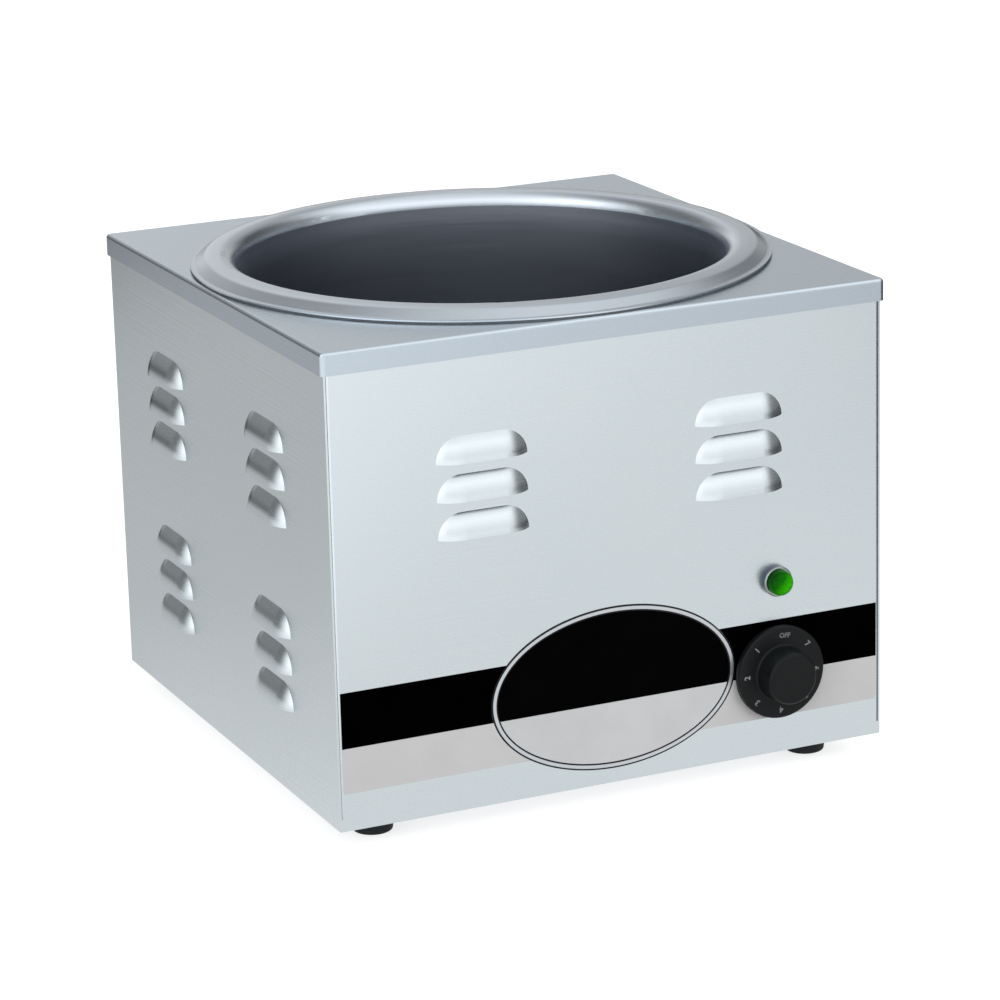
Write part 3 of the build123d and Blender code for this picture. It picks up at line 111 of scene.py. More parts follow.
def along(tree, source, direction):
    """How far a position reaches along a direction."""
    node = tree.nodes.new("ShaderNodeVectorMath")
    node.operation = "DOT_PRODUCT"
    node.inputs[1].default_value = direction
    tree.links.new(source, node.inputs[0])
    return node.outputs["Value"]


def noise(tree, scale, detail=3.0, rough=0.5):
    """A noise pattern whose grains are about 1 / scale metres."""
    node = tree.nodes.new("ShaderNodeTexNoise")
    node.inputs["Scale"].default_value = 1.0
    node.inputs["Detail"].default_value = detail
    node.inputs["Roughness"].default_value = rough
    tree.links.new(coordinates(tree, scale), node.inputs["Vector"])
    return node.outputs["Fac"]


def ramp(tree, source, stops):
    """Colours along a value. stops are (place, colour)."""
    node = tree.nodes.new("ShaderNodeValToRGB")
    elements = node.color_ramp.elements
    while len(elements) < len(stops):
        elements.new(0.5)
    for element, (place, colour) in zip(elements, stops):
        element.position = place
        element.color = (*colour, 1.0)
    tree.links.new(source, node.inputs["Fac"])
    return node.outputs["Color"]


def spread(tree, source, low, high, start=0.3, end=0.7):
    """A value mapped onto a range."""
    node = tree.nodes.new("ShaderNodeMapRange")
    node.inputs["From Min"].default_value = start
    node.inputs["From Max"].default_value = end
    node.inputs["To Min"].default_value = low
    node.inputs["To Max"].default_value = high
    tree.links.new(source, node.inputs["Value"])
    return node.outputs["Result"]


def bump(tree, shader, source, distance, strength=1.0):
    """Surface relief from a value, in metres."""
    node = tree.nodes.new("ShaderNodeBump")
    node.inputs["Distance"].default_value = distance
    node.inputs["Strength"].default_value = strength
    tree.links.new(source, node.inputs["Height"])
    tree.links.new(node.outputs["Normal"], shader.inputs["Normal"])


def box_centre(node):
    """The middle of a node's box."""
    low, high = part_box(node)
    return (Vector(low) + Vector(high)) / 2


def shade(colour, factor):
    """A colour made lighter or darker."""
    return tuple(min(1.0, c * factor) for c in colour)


def multiply(tree, first, second):
    """Two colours multiplied."""
    node = tree.nodes.new("ShaderNodeMix")
    node.data_type = "RGBA"
    node.blend_type = "MULTIPLY"
    node.inputs["Factor"].default_value = 1.0
    tree.links.new(first, node.inputs[6])
    tree.links.new(second, node.inputs[7])
    return node.outputs[2]


# Steel: linear colours, and the brushing's grain, relief and change of tone
STEEL = (0.64, 0.70, 0.725)
DECK_STEEL = (0.59, 0.67, 0.735)
# Painted shade: how much darker the deck's upright skirts are made than its top
SKIRT_PAINTED_SHADE = (0.82, 0.82, 0.83)
PANEL_GRAIN = (6, 6, 3600)
TOP_GRAIN = (6, 3600, 6)
BRUSH_RELIEF = 0.0005 * MM
BRUSH_CHANGE = 0.014
CLOUD_GRAIN = (9, 9, 9)
CLOUD_SHADE = (0.982, 0.987, 0.992)
BLOTCH_GRAIN = (60, 60, 60)
FULL = (1.0, 1.0, 1.0)

# Well: tones from the floor (0) to the top of the rim (1), with painted shade that darkens the inside and
# lightens towards the rim, and where the polish of the rim begins
WELL_RIM = (0.61, 0.67, 0.735)
WELL_INSIDE_PAINTED_SHADE = (0.335, 0.36, 0.412)
WELL_PAINTED_SHADE_TONES = [
    (0.0, WELL_INSIDE_PAINTED_SHADE),
    (0.78, WELL_INSIDE_PAINTED_SHADE),
    (0.89, shade(WELL_INSIDE_PAINTED_SHADE, 1.3)),
    (0.94, shade(WELL_INSIDE_PAINTED_SHADE, 1.95)),
    (0.96, WELL_RIM),
]
WELL_RIM_POLISH = 0.7
WELL_POLISH_FROM = (0.97, 0.985)
RING_GRAIN = (12, 12, 2500)
RING_SHADE = (0.965, 0.965, 0.965)

# Pilot light. The lens carries painted light: painted shade at its upper left and a painted glow at its lower
# right
LENS_PAINTED_LIGHT_DIRECTION = (0.75, 0.0, -0.66)
LENS_PAINTED_SHADE = (0.001, 0.05, 0.001)
LENS_GREEN = (0.004, 0.155, 0.0)
LENS_PAINTED_GLOW = (0.03, 0.41, 0.0)
LENS_PAINTED_GLOW_FROM = 0.3
LENS_PEBBLES = (700, 700, 700)
LENS_PEBBLE_SHADE = (0.72, 0.72, 0.72)
# Painted reflection on the bezel: a bright edge and a dark side wall
BEZEL_PAINTED_EDGE_WIDTH = 1.0 * MM
BEZEL_PAINTED_HIGHLIGHT = (0.30, 0.35, 0.33)
BEZEL_PAINTED_DARK_REFLECTION = (0.085, 0.10, 0.14)
BEZEL_GRAIN = (60, 2500, 60)
BEZEL_SHADE = (0.94, 0.94, 0.94)


def metal(name, colour, rough, grain=(40, 40, 40), relief=0.000004, change=0.05):
    """Metal with a grain: fine tone and roughness lines, soft clouds and a slight relief."""
    material, tree, shader = new_material(name)
    shader.inputs["Metallic"].default_value = 1.0
    lines = noise(tree, grain, 4.0, 0.6)
    clouds = noise(tree, CLOUD_GRAIN)
    tone = ramp(tree, lines, [(0.3, shade(colour, 1 - change)), (0.7, shade(colour, 1 + change))])
    cloud = ramp(tree, clouds, [(0.3, CLOUD_SHADE), (0.7, FULL)])
    tree.links.new(multiply(tree, tone, cloud), shader.inputs["Base Color"])
    tree.links.new(spread(tree, lines, rough * 0.85, rough * 1.15), shader.inputs["Roughness"])
    bump(tree, shader, lines, relief)
    return material


def plastic(name, colour, rough, grain=1500.0, relief=0.00001, change=0.12, specular=0.5, coat=0.0):
    """Plastic or rubber: a fine moulded grain with slight tone changes."""
    material, tree, shader = new_material(name)
    shader.inputs["Specular IOR Level"].default_value = specular
    shader.inputs["Coat Weight"].default_value = coat
    fine = noise(tree, (grain, grain, grain), 3.0, 0.55)
    wide = noise(tree, BLOTCH_GRAIN)
    tone = ramp(tree, wide, [(0.3, shade(colour, 1 - change)), (0.7, shade(colour, 1 + change))])
    tree.links.new(tone, shader.inputs["Base Color"])
    tree.links.new(spread(tree, fine, rough * 0.85, min(1.0, rough * 1.15)), shader.inputs["Roughness"])
    bump(tree, shader, fine, relief)
    return material


def well_metal_painted_shade():
    """Drawn steel: bright on the rim, with painted shade darkening the inside and lightening towards the rim,
    and rings from the drawing die.
    """
    material, tree, shader = new_material("well_steel")
    shader.inputs["Metallic"].default_value = 1.0
    low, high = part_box("well_pan")
    height = spread(tree, place_parts(tree).outputs["Z"], 0.0, 1.0, low[2], high[2])
    # Painted shade: darker down in the well, lighter near the rim
    base = ramp(tree, height, WELL_PAINTED_SHADE_TONES)
    rings = noise(tree, RING_GRAIN)
    tone = ramp(tree, rings, [(0.3, RING_SHADE), (0.7, FULL)])
    tree.links.new(multiply(tree, base, tone), shader.inputs["Base Color"])
    dull = spread(tree, rings, 0.30, 0.36)
    rough = tree.nodes.new("ShaderNodeMath")
    rough.operation = "MULTIPLY"
    tree.links.new(dull, rough.inputs[0])
    tree.links.new(spread(tree, height, 1.0, WELL_RIM_POLISH, *WELL_POLISH_FROM), rough.inputs[1])
    tree.links.new(rough.outputs["Value"], shader.inputs["Roughness"])
    bump(tree, shader, rings, 0.000001)
    return material


def lens_plastic():
    """Green plastic with a pebbled inner face, and painted light: painted shade towards its upper left and a
    painted glow towards its lower right.
    """
    material, tree, shader = new_material("green_lens")
    cells = tree.nodes.new("ShaderNodeTexVoronoi")
    cells.inputs["Scale"].default_value = 1.0
    tree.links.new(coordinates(tree, LENS_PEBBLES), cells.inputs["Vector"])
    low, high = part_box("pilot_lens")
    lens_r = (high[0] - low[0]) / 2
    level = box_centre("pilot_lens").dot(Vector(LENS_PAINTED_LIGHT_DIRECTION))
    # Painted light: dark at the upper left, glowing at the lower right
    slope = along(tree, coordinates(tree, (1, 1, 1)), LENS_PAINTED_LIGHT_DIRECTION)
    depth = spread(tree, slope, 0.0, 1.0, level - lens_r, level + LENS_PAINTED_GLOW_FROM * lens_r)
    body = ramp(tree, depth, [(0.0, LENS_PAINTED_SHADE), (0.5, LENS_GREEN), (1.0, LENS_PAINTED_GLOW)])
    speck = ramp(tree, cells.outputs["Distance"], [(0.1, FULL), (0.75, LENS_PEBBLE_SHADE)])
    tree.links.new(multiply(tree, body, speck), shader.inputs["Base Color"])
    shader.inputs["Specular IOR Level"].default_value = 0.05
    shader.inputs["IOR"].default_value = 1.49
    tree.links.new(spread(tree, cells.outputs["Distance"], 0.12, 0.3), shader.inputs["Roughness"])
    bump(tree, shader, cells.outputs["Distance"], 0.00004, 0.4)
    return material


def bezel_metal_painted_reflection():
    """Chrome with a painted dark reflection on its side wall and a painted highlight on its edge towards the
    lens.
    """
    material, tree, shader = new_material("bezel_chrome")
    shader.inputs["Metallic"].default_value = 1.0
    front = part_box("pilot_bezel")[0][1]
    depth = spread(tree, place_parts(tree).outputs["Y"], 0.0, 1.0, front, front + BEZEL_PAINTED_EDGE_WIDTH)
    # Painted reflection: a bright front edge and a dark side wall
    base = ramp(tree, depth, [(0.0, BEZEL_PAINTED_HIGHLIGHT), (0.6, BEZEL_PAINTED_HIGHLIGHT), (1.0, BEZEL_PAINTED_DARK_REFLECTION)])
    lines = noise(tree, BEZEL_GRAIN)
    tone = ramp(tree, lines, [(0.3, BEZEL_SHADE), (0.7, FULL)])
    tree.links.new(multiply(tree, base, tone), shader.inputs["Base Color"])
    tree.links.new(spread(tree, lines, 0.14, 0.2), shader.inputs["Roughness"])
    bump(tree, shader, lines, 0.000001)
    return material


slot_materials = {
    "brushed_steel": metal("brushed_steel", STEEL, 0.28, PANEL_GRAIN, BRUSH_RELIEF, BRUSH_CHANGE),
    "galvanised_steel": metal("galvanised_steel", (0.42, 0.44, 0.46), 0.45, (300, 300, 300), change=0.2),
    "zinc_steel": metal("zinc_steel", (0.55, 0.56, 0.57), 0.3, (200, 200, 200), change=0.1),
    "foot_rubber": plastic("foot_rubber", (0.012, 0.014, 0.015), 0.7, specular=0.25),
    "gasket_silicone": plastic("gasket_silicone", (0.12, 0.13, 0.14), 0.7, specular=0.25),
    "mineral_wool": plastic("mineral_wool", (0.50, 0.44, 0.28), 0.95, 700.0, 0.0004, 0.25, 0.1),
    "element_sheath": metal("element_sheath", (0.20, 0.17, 0.15), 0.5, (300, 300, 300), change=0.25),
    "white_ceramic": plastic("white_ceramic", (0.80, 0.79, 0.75), 0.25, 900.0, change=0.04, coat=0.4),
    "brown_phenolic": plastic("brown_phenolic", (0.08, 0.035, 0.02), 0.45),
    "brass": metal("brass", (0.72, 0.52, 0.22), 0.28, (250, 250, 250)),
    "copper": metal("copper", (0.72, 0.36, 0.22), 0.3, (250, 250, 250), change=0.1),
    "dial_plastic": plastic("dial_plastic", (0.0055, 0.0068, 0.0072), 0.42, specular=0.15),
    "black_nylon": plastic("black_nylon", (0.018, 0.018, 0.019), 0.5),
    "neon_glass": plastic("neon_glass", (0.60, 0.35, 0.25), 0.1, change=0.05, coat=1.0),
    "black_print": plastic("black_print", (0.0003, 0.0003, 0.0003), 0.5, 900.0, 0.000002, 0.4, 0.002),
    "grey_print": plastic("grey_print", (0.52, 0.52, 0.52), 0.5, 900.0, 0.000002, 0.02, 0.15),
    "badge_print": plastic("badge_print", (0.52, 0.52, 0.52), 0.5, 900.0, 0.000002, 0.02, 0.15),
    "black_lead": plastic("black_lead", (0.02, 0.02, 0.02), 0.6),
    "white_lead": plastic("white_lead", (0.75, 0.75, 0.72), 0.6, change=0.05),
    "green_lead": plastic("green_lead", (0.05, 0.33, 0.09), 0.6),
    "well_steel": well_metal_painted_shade(),
    "green_lens": lens_plastic(),
    "bezel_chrome": bezel_metal_painted_reflection(),
}


def deck_steel():
    """The deck's steel: lines along X on top, and along each skirt on the skirts, with painted shade making
    the skirts darker.
    """
    material, tree, shader = new_material("deck_steel")
    shader.inputs["Metallic"].default_value = 1.0
    geometry = tree.nodes.new("ShaderNodeNewGeometry")
    facing = tree.nodes.new("ShaderNodeVectorMath")
    facing.operation = "ABSOLUTE"
    tree.links.new(geometry.outputs["Normal"], facing.inputs[0])
    split = tree.nodes.new("ShaderNodeSeparateXYZ")
    tree.links.new(facing.outputs["Vector"], split.inputs["Vector"])
    top = noise(tree, TOP_GRAIN, 4.0, 0.6)
    skirt = noise(tree, PANEL_GRAIN, 4.0, 0.6)
    lines = tree.nodes.new("ShaderNodeMix")
    tree.links.new(spread(tree, split.outputs["Z"], 0.0, 1.0, 0.4, 0.6), lines.inputs["Factor"])
    tree.links.new(skirt, lines.inputs["A"])
    tree.links.new(top, lines.inputs["B"])
    change = spread(tree, lines.outputs["Result"], 0.0, 1.0)
    tone = ramp(
        tree, change, [(0.0, shade(DECK_STEEL, 1 - BRUSH_CHANGE)), (1.0, shade(DECK_STEEL, 1 + BRUSH_CHANGE))]
    )
    # Painted shade: the upright skirts are made darker than the top
    side = ramp(tree, split.outputs["Z"], [(0.4, SKIRT_PAINTED_SHADE), (0.6, FULL)])
    tree.links.new(multiply(tree, tone, side), shader.inputs["Base Color"])
    tree.links.new(spread(tree, change, 0.25, 0.31, 0.0, 1.0), shader.inputs["Roughness"])
    bump(tree, shader, lines.outputs["Result"], BRUSH_RELIEF)
    return material


deck_metal = deck_steel()


def dress(piece, material):
    """Gives a piece one material in all its slots."""
    piece.data.materials.clear()
    piece.data.materials.append(material)


slot_of = {row["node"]: row["material_slot"] for row in frame["record"]["subparts"]}
for node_name, node in nodes.items():
    dress(node, slot_materials[slot_of[node_name]])
dress(nodes["top_deck"], deck_metal)


def mesh_piece(name, bm, body, material, smooth=True):
    """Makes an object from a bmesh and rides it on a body."""
    mesh = bpy.data.meshes.new(name)
    bmesh.ops.recalc_face_normals(bm, faces=bm.faces)
    bm.to_mesh(mesh)
    bm.free()
    piece = bpy.data.objects.new(name, mesh)
    bpy.context.scene.collection.objects.link(piece)
    if smooth:
        mesh.shade_smooth()
    dress(piece, material)
    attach(piece, body)
    return piece


# Dial: a turned shell with a smooth round grip, and its printed marks. Depths run from its front or its back
DIAL_BORE_R = 3.1 * MM
DIAL_BORE_END = 3.9 * MM
DIAL_HOLLOW = 1.3 * MM
DIAL_WALL = 2.5 * MM
DIAL_WALL_DRAFT = 0.1 * MM
DIAL_BACK_EDGE = 0.3 * MM
DIAL_SKIRT_T = 4.5 * MM
DIAL_SKIRT_EDGE = 1.1 * MM
DIAL_SKIRT_LAND = 4.0 * MM
DIAL_HUB_R = 14.8 * MM
DIAL_HUB_FOOT = 1.2 * MM
DIAL_HUB_LAND = 1.0 * MM
DIAL_TIP_R = 14.2 * MM
DIAL_TIP_EDGE = 2.0 * MM
DIAL_DISH = ((11.0 * MM, 0.12 * MM), (6.0 * MM, 0.3 * MM), (0.0, 0.35 * MM))
DIAL_MARK_R = 20.6 * MM
DIAL_MARK_SIZE = 4.6 * MM
DIAL_MARK_HEIGHT = 0.06 * MM
DIAL_MARK_WEIGHT = 0.12 * MM
DIAL_TURNS = 96
DIAL_OFF_ANGLE = 5
DIAL_FIRST_ANGLE = -45
DIAL_STEP_ANGLE = 44.5
DIAL_NUMBERS = 7
DIAL_WORD_SHARE = 0.8


def lathe(bm, profile, centre, turns):
    """A closed body: the profile (radius, y), with both ends on the axis, turned round an axis along Y."""
    first = bm.verts.new((centre.x, profile[0][1], centre.z))
    last = bm.verts.new((centre.x, profile[-1][1], centre.z))
    rows = []
    for step in range(turns):
        turn = 2 * math.pi * step / turns
        side, up = math.cos(turn), math.sin(turn)
        rows.append([bm.verts.new((centre.x + r * side, y, centre.z + r * up)) for r, y in profile[1:-1]])
    for row, after in zip(rows, rows[1:] + rows[:1]):
        bm.faces.new((first, row[0], after[0]))
        bm.faces.new((row[-1], last, after[-1]))
        for i in range(len(row) - 1):
            bm.faces.new((row[i], row[i + 1], after[i + 1], after[i]))


def arc_points(centre, radius, start, end, steps):
    """Points of an arc in the plane of a profile, start and end in degrees."""
    points = []
    for step in range(steps + 1):
        angle = math.radians(start + (end - start) * step / steps)
        points.append((centre[0] + radius * math.cos(angle), centre[1] + radius * math.sin(angle)))
    return points


def make_dial():
    """The dial: a thin skirt with a rounded edge and a round grip with a rounded, slightly dished end."""
    low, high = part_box("control_knob")
    centre = box_centre("control_knob")
    skirt_r = (high[0] - low[0]) / 2
    front, back = low[1], high[1]
    skirt_front = back - DIAL_SKIRT_T
    edge, foot, tip = DIAL_SKIRT_EDGE, DIAL_HUB_FOOT, DIAL_TIP_EDGE
    hollow_r = skirt_r - DIAL_WALL
    profile = [(0.0, front + DIAL_BORE_END), (DIAL_BORE_R, front + DIAL_BORE_END)]
    profile += [(DIAL_BORE_R, back - DIAL_HOLLOW), (hollow_r - DIAL_WALL_DRAFT, back - DIAL_HOLLOW)]
    profile += [(hollow_r, back)]
    profile += [(skirt_r - DIAL_BACK_EDGE, back), (skirt_r, back - DIAL_BACK_EDGE)]
    profile += arc_points((skirt_r - edge, skirt_front + edge), edge, 0, -90, 6)
    profile += [(skirt_r - DIAL_SKIRT_LAND, skirt_front), (DIAL_HUB_R + foot + DIAL_HUB_LAND, skirt_front)]
    profile += arc_points((DIAL_HUB_R + foot, skirt_front - foot), foot, 90, 180, 6)
    profile += arc_points((DIAL_TIP_R - tip, front + tip), tip, 0, -90, 8)
    profile += [(r, front + depth) for r, depth in DIAL_DISH]
    bm = bmesh.new()
    lathe(bm, profile, centre, DIAL_TURNS)
    piece = mesh_piece("dial_shell", bm, "dial", slot_materials["dial_plastic"])
    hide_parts("control_knob")
    return centre, skirt_front


def mark_mesh(text, size):
    """The mesh of a short text, flat in XY with its middle at the origin."""
    curve = bpy.data.curves.new("mark", "FONT")
    curve.body = text
    curve.size = size
    curve.extrude = DIAL_MARK_HEIGHT / 2
    curve.offset = DIAL_MARK_WEIGHT
    curve.resolution_u = 3
    curve.align_x = "CENTER"
    curve.align_y = "CENTER"
    holder = bpy.data.objects.new("mark", curve)
    bpy.context.scene.collection.objects.link(holder)
    mesh = bpy.data.meshes.new_from_object(holder.evaluated_get(bpy.context.evaluated_depsgraph_get()))
    bpy.data.objects.remove(holder)
    bpy.data.curves.remove(curve)
    return mesh


def make_dial_marks(centre, skirt_front):
    """Faded marks round the skirt: OFF near the top, then 1 to 7 counterclockwise, each read from outside."""
    bm = bmesh.new()
    marks = [("OFF", DIAL_OFF_ANGLE)]
    marks += [(str(i + 1), DIAL_FIRST_ANGLE - DIAL_STEP_ANGLE * i) for i in range(DIAL_NUMBERS)]
    for text, angle in marks:
        mesh = mark_mesh(text, DIAL_MARK_SIZE * (1 if len(text) == 1 else DIAL_WORD_SHARE))
        turn = math.radians(angle)
        stand = Matrix.Rotation(math.pi / 2, 4, "X")
        spin = Matrix.Rotation(turn, 4, "Y")
        lift = Matrix.Translation((0, 0, DIAL_MARK_R))
        place = Matrix.Translation((centre.x, skirt_front - DIAL_MARK_HEIGHT / 2, centre.z))
        mesh.transform(place @ spin @ lift @ stand)
        bm.from_mesh(mesh)
        bpy.data.meshes.remove(mesh)
    bmesh.ops.remove_doubles(bm, verts=bm.verts, dist=1e-7)
    ink = plastic("dial_ink", (0.18, 0.19, 0.19), 0.6, 2500.0, 0.000002, 0.35, 0.2)
    mesh_piece("dial_marks", bm, "dial", ink, smooth=False)


dial_centre, dial_skirt_front = make_dial()
make_dial_marks(dial_centre, dial_skirt_front)


# Badge: an oval film with a silver ring, a black upper field and a pale lower field
BADGE_BASE = 0.22 * MM
BADGE_RING_T = 0.42 * MM
BADGE_FIELD_T = 0.32 * MM
RING_OUT = 0.9 * MM
RING_IN = 2.7 * MM
FIELD_EDGE = 3.6 * MM


def oval(centre, half_x, half_z, count=160):
    """Points of an ellipse on a plane that faces -Y."""
    return [
        (
            centre[0] + half_x * math.cos(2 * math.pi * i / count),
            centre[1] + half_z * math.sin(2 * math.pi * i / count),
        )
        for i in range(count)
    ]


def plate(bm, outline, back, thickness):
    """A thin closed plate of an outline (x, z), from back towards the front."""
    rear = [bm.verts.new((x, back, z)) for x, z in outline]
    fore = [bm.verts.new((x, back - thickness, z)) for x, z in outline]
    bm.faces.new(rear)
    bm.faces.new(fore)
    for i in range(len(outline)):
        j = (i + 1) % len(outline)
        bm.faces.new((rear[i], rear[j], fore[j], fore[i]))


def ring_plate(bm, outer, inner, back, thickness):
    """A thin closed ring between two outlines of the same count."""
    loops = [
        [bm.verts.new((x, y, z)) for x, z in outline]
        for outline, y in (
            (outer, back),
            (outer, back - thickness),
            (inner, back - thickness),
            (inner, back),
        )
    ]
    for loop, after in zip(loops, loops[1:] + loops[:1]):
        for i in range(len(outer)):
            j = (i + 1) % len(outer)
            bm.faces.new((loop[i], loop[j], after[j], after[i]))


def field_outline(centre, half_x, half_z, level, upper, count=80):
    """The outline of the part of an ellipse above or below a level line."""
    rise = math.asin((level - centre[1]) / half_z)
    left, right = math.pi - rise, 2 * math.pi + rise
    start, end = (right - 2 * math.pi, left) if upper else (left, right)
    rim = []
    for i in range(count + 1):
        angle = start + (end - start) * i / count
        rim.append((half_x * math.cos(angle), half_z * math.sin(angle)))
    return [(centre[0] + x, centre[1] + z) for x, z in rim]


def make_badge():
    """The badge's film, ring and two fields."""
    low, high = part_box("badge")
    back = high[1]
    centre = ((low[0] + high[0]) / 2, (low[2] + high[2]) / 2)
    half_x = (high[0] - low[0]) / 2
    half_z = (high[2] - low[2]) / 2
    stripe_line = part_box("stripe_grey")[1][2]
    dark = plastic("badge_dark", (0.006, 0.006, 0.007), 0.4, 900.0, 0.000002, 0.3, 0.2)
    black = plastic("badge_black", (0.0005, 0.0005, 0.0005), 0.45, 900.0, 0.000002, 0.3, 0.01)
    silver = metal("badge_silver", (0.60, 0.63, 0.66), 0.4, (700, 700, 700), 0.000001, 0.04)
    pale = plastic("badge_pale", (0.52, 0.53, 0.54), 0.45, 900.0, 0.000002, 0.03, 0.2)
    bm = bmesh.new()
    plate(bm, oval(centre, half_x, half_z), back, BADGE_BASE)
    base = mesh_piece("badge_film", bm, "housing", dark, smooth=False)
    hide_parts("badge")
    bm = bmesh.new()
    ring_plate(
        bm,
        oval(centre, half_x - RING_OUT, half_z - RING_OUT),
        oval(centre, half_x - RING_IN, half_z - RING_IN),
        back - BADGE_BASE,
        BADGE_RING_T - BADGE_BASE,
    )
    mesh_piece("badge_ring", bm, "housing", silver, smooth=False)
    for name, upper, material in (("badge_upper", True, black), ("badge_lower", False, pale)):
        bm = bmesh.new()
        outline = field_outline(centre, half_x - FIELD_EDGE, half_z - FIELD_EDGE, stripe_line, upper)
        plate(bm, outline, back - BADGE_BASE, BADGE_FIELD_T - BADGE_BASE)
        mesh_piece(name, bm, "housing", material, smooth=False)


make_badge()


# Stage: floor, world and lamps.
# What metal sees of the floor, as (place in metres, grey), and of the sky, as (direction, grey)
FLOOR_TO_BACK = [
    (-0.2, 0.95), (0.08, 0.79), (0.3, 0.66), (0.7, 0.62),
    (1.0, 0.68), (1.3, 0.62), (1.7, 0.34),
]
FLOOR_TO_RIGHT = [(0.14, 1.0), (0.40, 0.07)]
FLOOR_TO_LEFT = [(0.4, 1.0), (0.75, 1.45)]
SKY_BEHIND = [
    (-1.0, 0.12), (-0.38, 0.20), (0.22, 0.64), (0.41, 0.47),
    (0.55, 0.40), (0.75, 0.34), (0.95, 0.22),
]
SKY_HORIZON = [(0.0, 0.50), (0.12, 1.12), (0.2, 1.02), (0.28, 0.76), (0.4, 0.92)]
SKY_LEFT = [(-0.85, 1.45), (-0.55, 1.0)]
SKY_BEFORE = [(-0.1, 0.78), (0.2, 0.84), (0.6, 1.08), (1.0, 0.7)]
SKY_RIGHT = [(0.6, 1.0), (0.85, 0.22)]
SKY_STRENGTH = 1.4
SKY_TURN = (-0.15, 0.45)

# The floor's own grey, and what it glows for the camera
FLOOR_GREY = (0.5, 0.5, 0.5, 1)
FLOOR_GLOW = 0.70

# Lamps: name, place, what it points at, size in metres and watts
LAMPS = [
    ("top_lamp", (0.0, -0.3, 2.6), (0, 0, 0.2), (2.2, 2.2), 11),
    ("front_left_lamp", (-1.9, -1.9, 1.1), (0, 0, 0.15), (1.6, 1.4), 6),
    ("front_lamp", (0.9, -2.4, 1.2), (0, 0, 0.1), (2.0, 1.4), 10),
]


def grey_ramp(tree, source, low, high, stops):
    """Greys along a value between low and high. stops are (value, grey)."""
    scaled = spread(tree, source, 0.0, 1.0, low, high)
    return ramp(tree, scaled, [((value - low) / (high - low), (grey, grey, grey)) for value, grey in stops])


def emission(tree, colour):
    """A glow of strength 1 in a colour."""
    node = tree.nodes.new("ShaderNodeEmission")
    node.inputs["Strength"].default_value = 1.0
    tree.links.new(colour, node.inputs["Color"])
    return node.outputs["Emission"]


def make_floor():
    """A wide pale floor. It glows white for the camera, and metal sees it fade towards the back."""
    bm = bmesh.new()
    bmesh.ops.create_grid(bm, x_segments=2, y_segments=2, size=12)
    mesh = bpy.data.meshes.new("floor")
    bm.to_mesh(mesh)
    bm.free()
    floor = bpy.data.objects.new("floor", mesh)
    bpy.context.scene.collection.objects.link(floor)
    material = bpy.data.materials.new("floor")
    material.use_nodes = True
    tree = material.node_tree
    tree.nodes.clear()
    output = tree.nodes.new("ShaderNodeOutputMaterial")
    matte = tree.nodes.new("ShaderNodeBsdfDiffuse")
    matte.inputs["Color"].default_value = FLOOR_GREY
    path = tree.nodes.new("ShaderNodeLightPath")
    seen = tree.nodes.new("ShaderNodeMath")
    seen.operation = "MAXIMUM"
    tree.links.new(path.outputs["Is Camera Ray"], seen.inputs[0])
    tree.links.new(path.outputs["Is Transmission Ray"], seen.inputs[1])
    glow = emission(tree, grey_ramp(tree, seen.outputs["Value"], 0.0, 1.0, [(0.0, 0.0), (1.0, FLOOR_GLOW)]))
    both = tree.nodes.new("ShaderNodeAddShader")
    tree.links.new(matte.outputs["BSDF"], both.inputs[0])
    tree.links.new(glow, both.inputs[1])
    place = tree.nodes.new("ShaderNodeTexCoord").outputs["Object"]
    to_back = grey_ramp(tree, along(tree, place, (0, 1, 0)), -1.0, 2.0, FLOOR_TO_BACK)
    to_right = grey_ramp(tree, along(tree, place, (1, 0.6, 0)), -1.0, 1.0, FLOOR_TO_RIGHT)
    to_left = grey_ramp(tree, along(tree, place, (-1, -0.8, 0)), -1.0, 1.0, FLOOR_TO_LEFT)
    mirrored = emission(tree, multiply(tree, multiply(tree, to_back, to_right), to_left))
    choose = tree.nodes.new("ShaderNodeMixShader")
    tree.links.new(path.outputs["Is Glossy Ray"], choose.inputs["Fac"])
    tree.links.new(both.outputs["Shader"], choose.inputs[1])
    tree.links.new(mirrored, choose.inputs[2])
    tree.links.new(choose.outputs["Shader"], output.inputs["Surface"])
    mesh.materials.append(material)


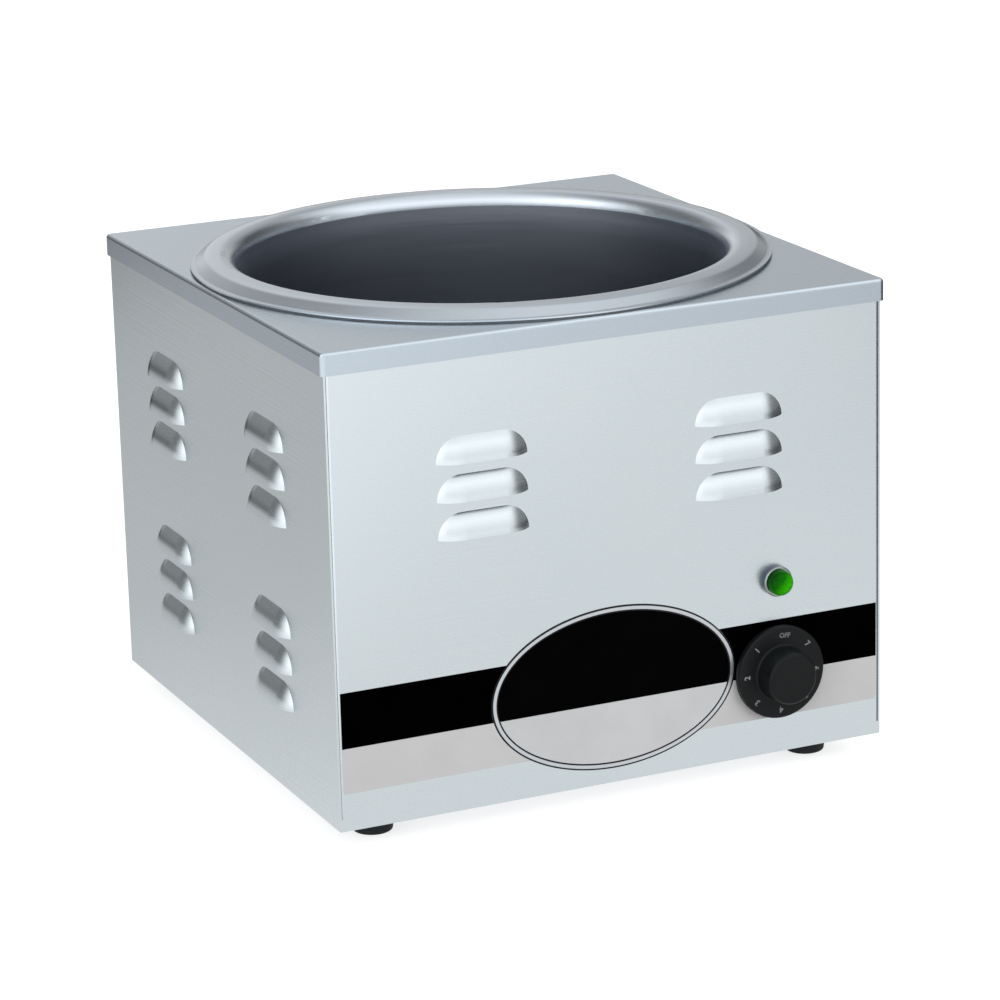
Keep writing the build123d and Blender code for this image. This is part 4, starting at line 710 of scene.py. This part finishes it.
def make_world():
    """A pale studio: bright in front and above, grey behind, dark at the far right. White for the camera."""
    world = bpy.data.worlds.new("world")
    world.use_nodes = True
    bpy.context.scene.world = world
    tree = world.node_tree
    tree.nodes.clear()
    output = tree.nodes.new("ShaderNodeOutputWorld")
    direction = tree.nodes.new("ShaderNodeTexCoord").outputs["Generated"]
    behind = grey_ramp(tree, along(tree, direction, (1, 0, 0)), -1.0, 1.0, SKY_BEHIND)
    horizon = grey_ramp(tree, along(tree, direction, (0, 0, 1)), -1.0, 1.0, SKY_HORIZON)
    before = grey_ramp(tree, along(tree, direction, (0, 0, 1)), -1.0, 1.0, SKY_BEFORE)
    left = grey_ramp(tree, along(tree, direction, (1, 0, 0)), -1.0, 1.0, SKY_LEFT)
    mix = tree.nodes.new("ShaderNodeMix")
    mix.data_type = "RGBA"
    turn = spread(tree, along(tree, direction, (0, 1, 0)), 0.0, 1.0, *SKY_TURN)
    tree.links.new(turn, mix.inputs["Factor"])
    tree.links.new(multiply(tree, before, left), mix.inputs[6])
    tree.links.new(multiply(tree, behind, horizon), mix.inputs[7])
    sky = tree.nodes.new("ShaderNodeBackground")
    sky.inputs["Strength"].default_value = SKY_STRENGTH
    right = grey_ramp(tree, along(tree, direction, (1, 0, 0)), -1.0, 1.0, SKY_RIGHT)
    tree.links.new(multiply(tree, mix.outputs[2], right), sky.inputs["Color"])
    white = tree.nodes.new("ShaderNodeBackground")
    white.inputs["Color"].default_value = (1, 1, 1, 1)
    white.inputs["Strength"].default_value = 1.0
    path = tree.nodes.new("ShaderNodeLightPath")
    seen = tree.nodes.new("ShaderNodeMath")
    seen.operation = "MAXIMUM"
    tree.links.new(path.outputs["Is Camera Ray"], seen.inputs[0])
    tree.links.new(path.outputs["Is Transmission Ray"], seen.inputs[1])
    choose = tree.nodes.new("ShaderNodeMixShader")
    tree.links.new(seen.outputs["Value"], choose.inputs["Fac"])
    tree.links.new(sky.outputs["Background"], choose.inputs[1])
    tree.links.new(white.outputs["Background"], choose.inputs[2])
    tree.links.new(choose.outputs["Shader"], output.inputs["Surface"])


def lamp(name, place, target, size, power):
    """A square soft lamp that points at a place."""
    data = bpy.data.lights.new(name, "AREA")
    data.shape = "RECTANGLE"
    data.size, data.size_y = size
    data.energy = power
    light = bpy.data.objects.new(name, data)
    bpy.context.scene.collection.objects.link(light)
    light.location = place
    light.rotation_mode = "QUATERNION"
    light.rotation_quaternion = (Vector(target) - Vector(place)).to_track_quat("-Z", "Y")
    light.visible_camera = False
    light.visible_glossy = False


make_camera()
make_floor()
make_world()
for lamp_row in LAMPS:
    lamp(*lamp_row)

bpy.context.scene.view_settings.view_transform = "Standard"
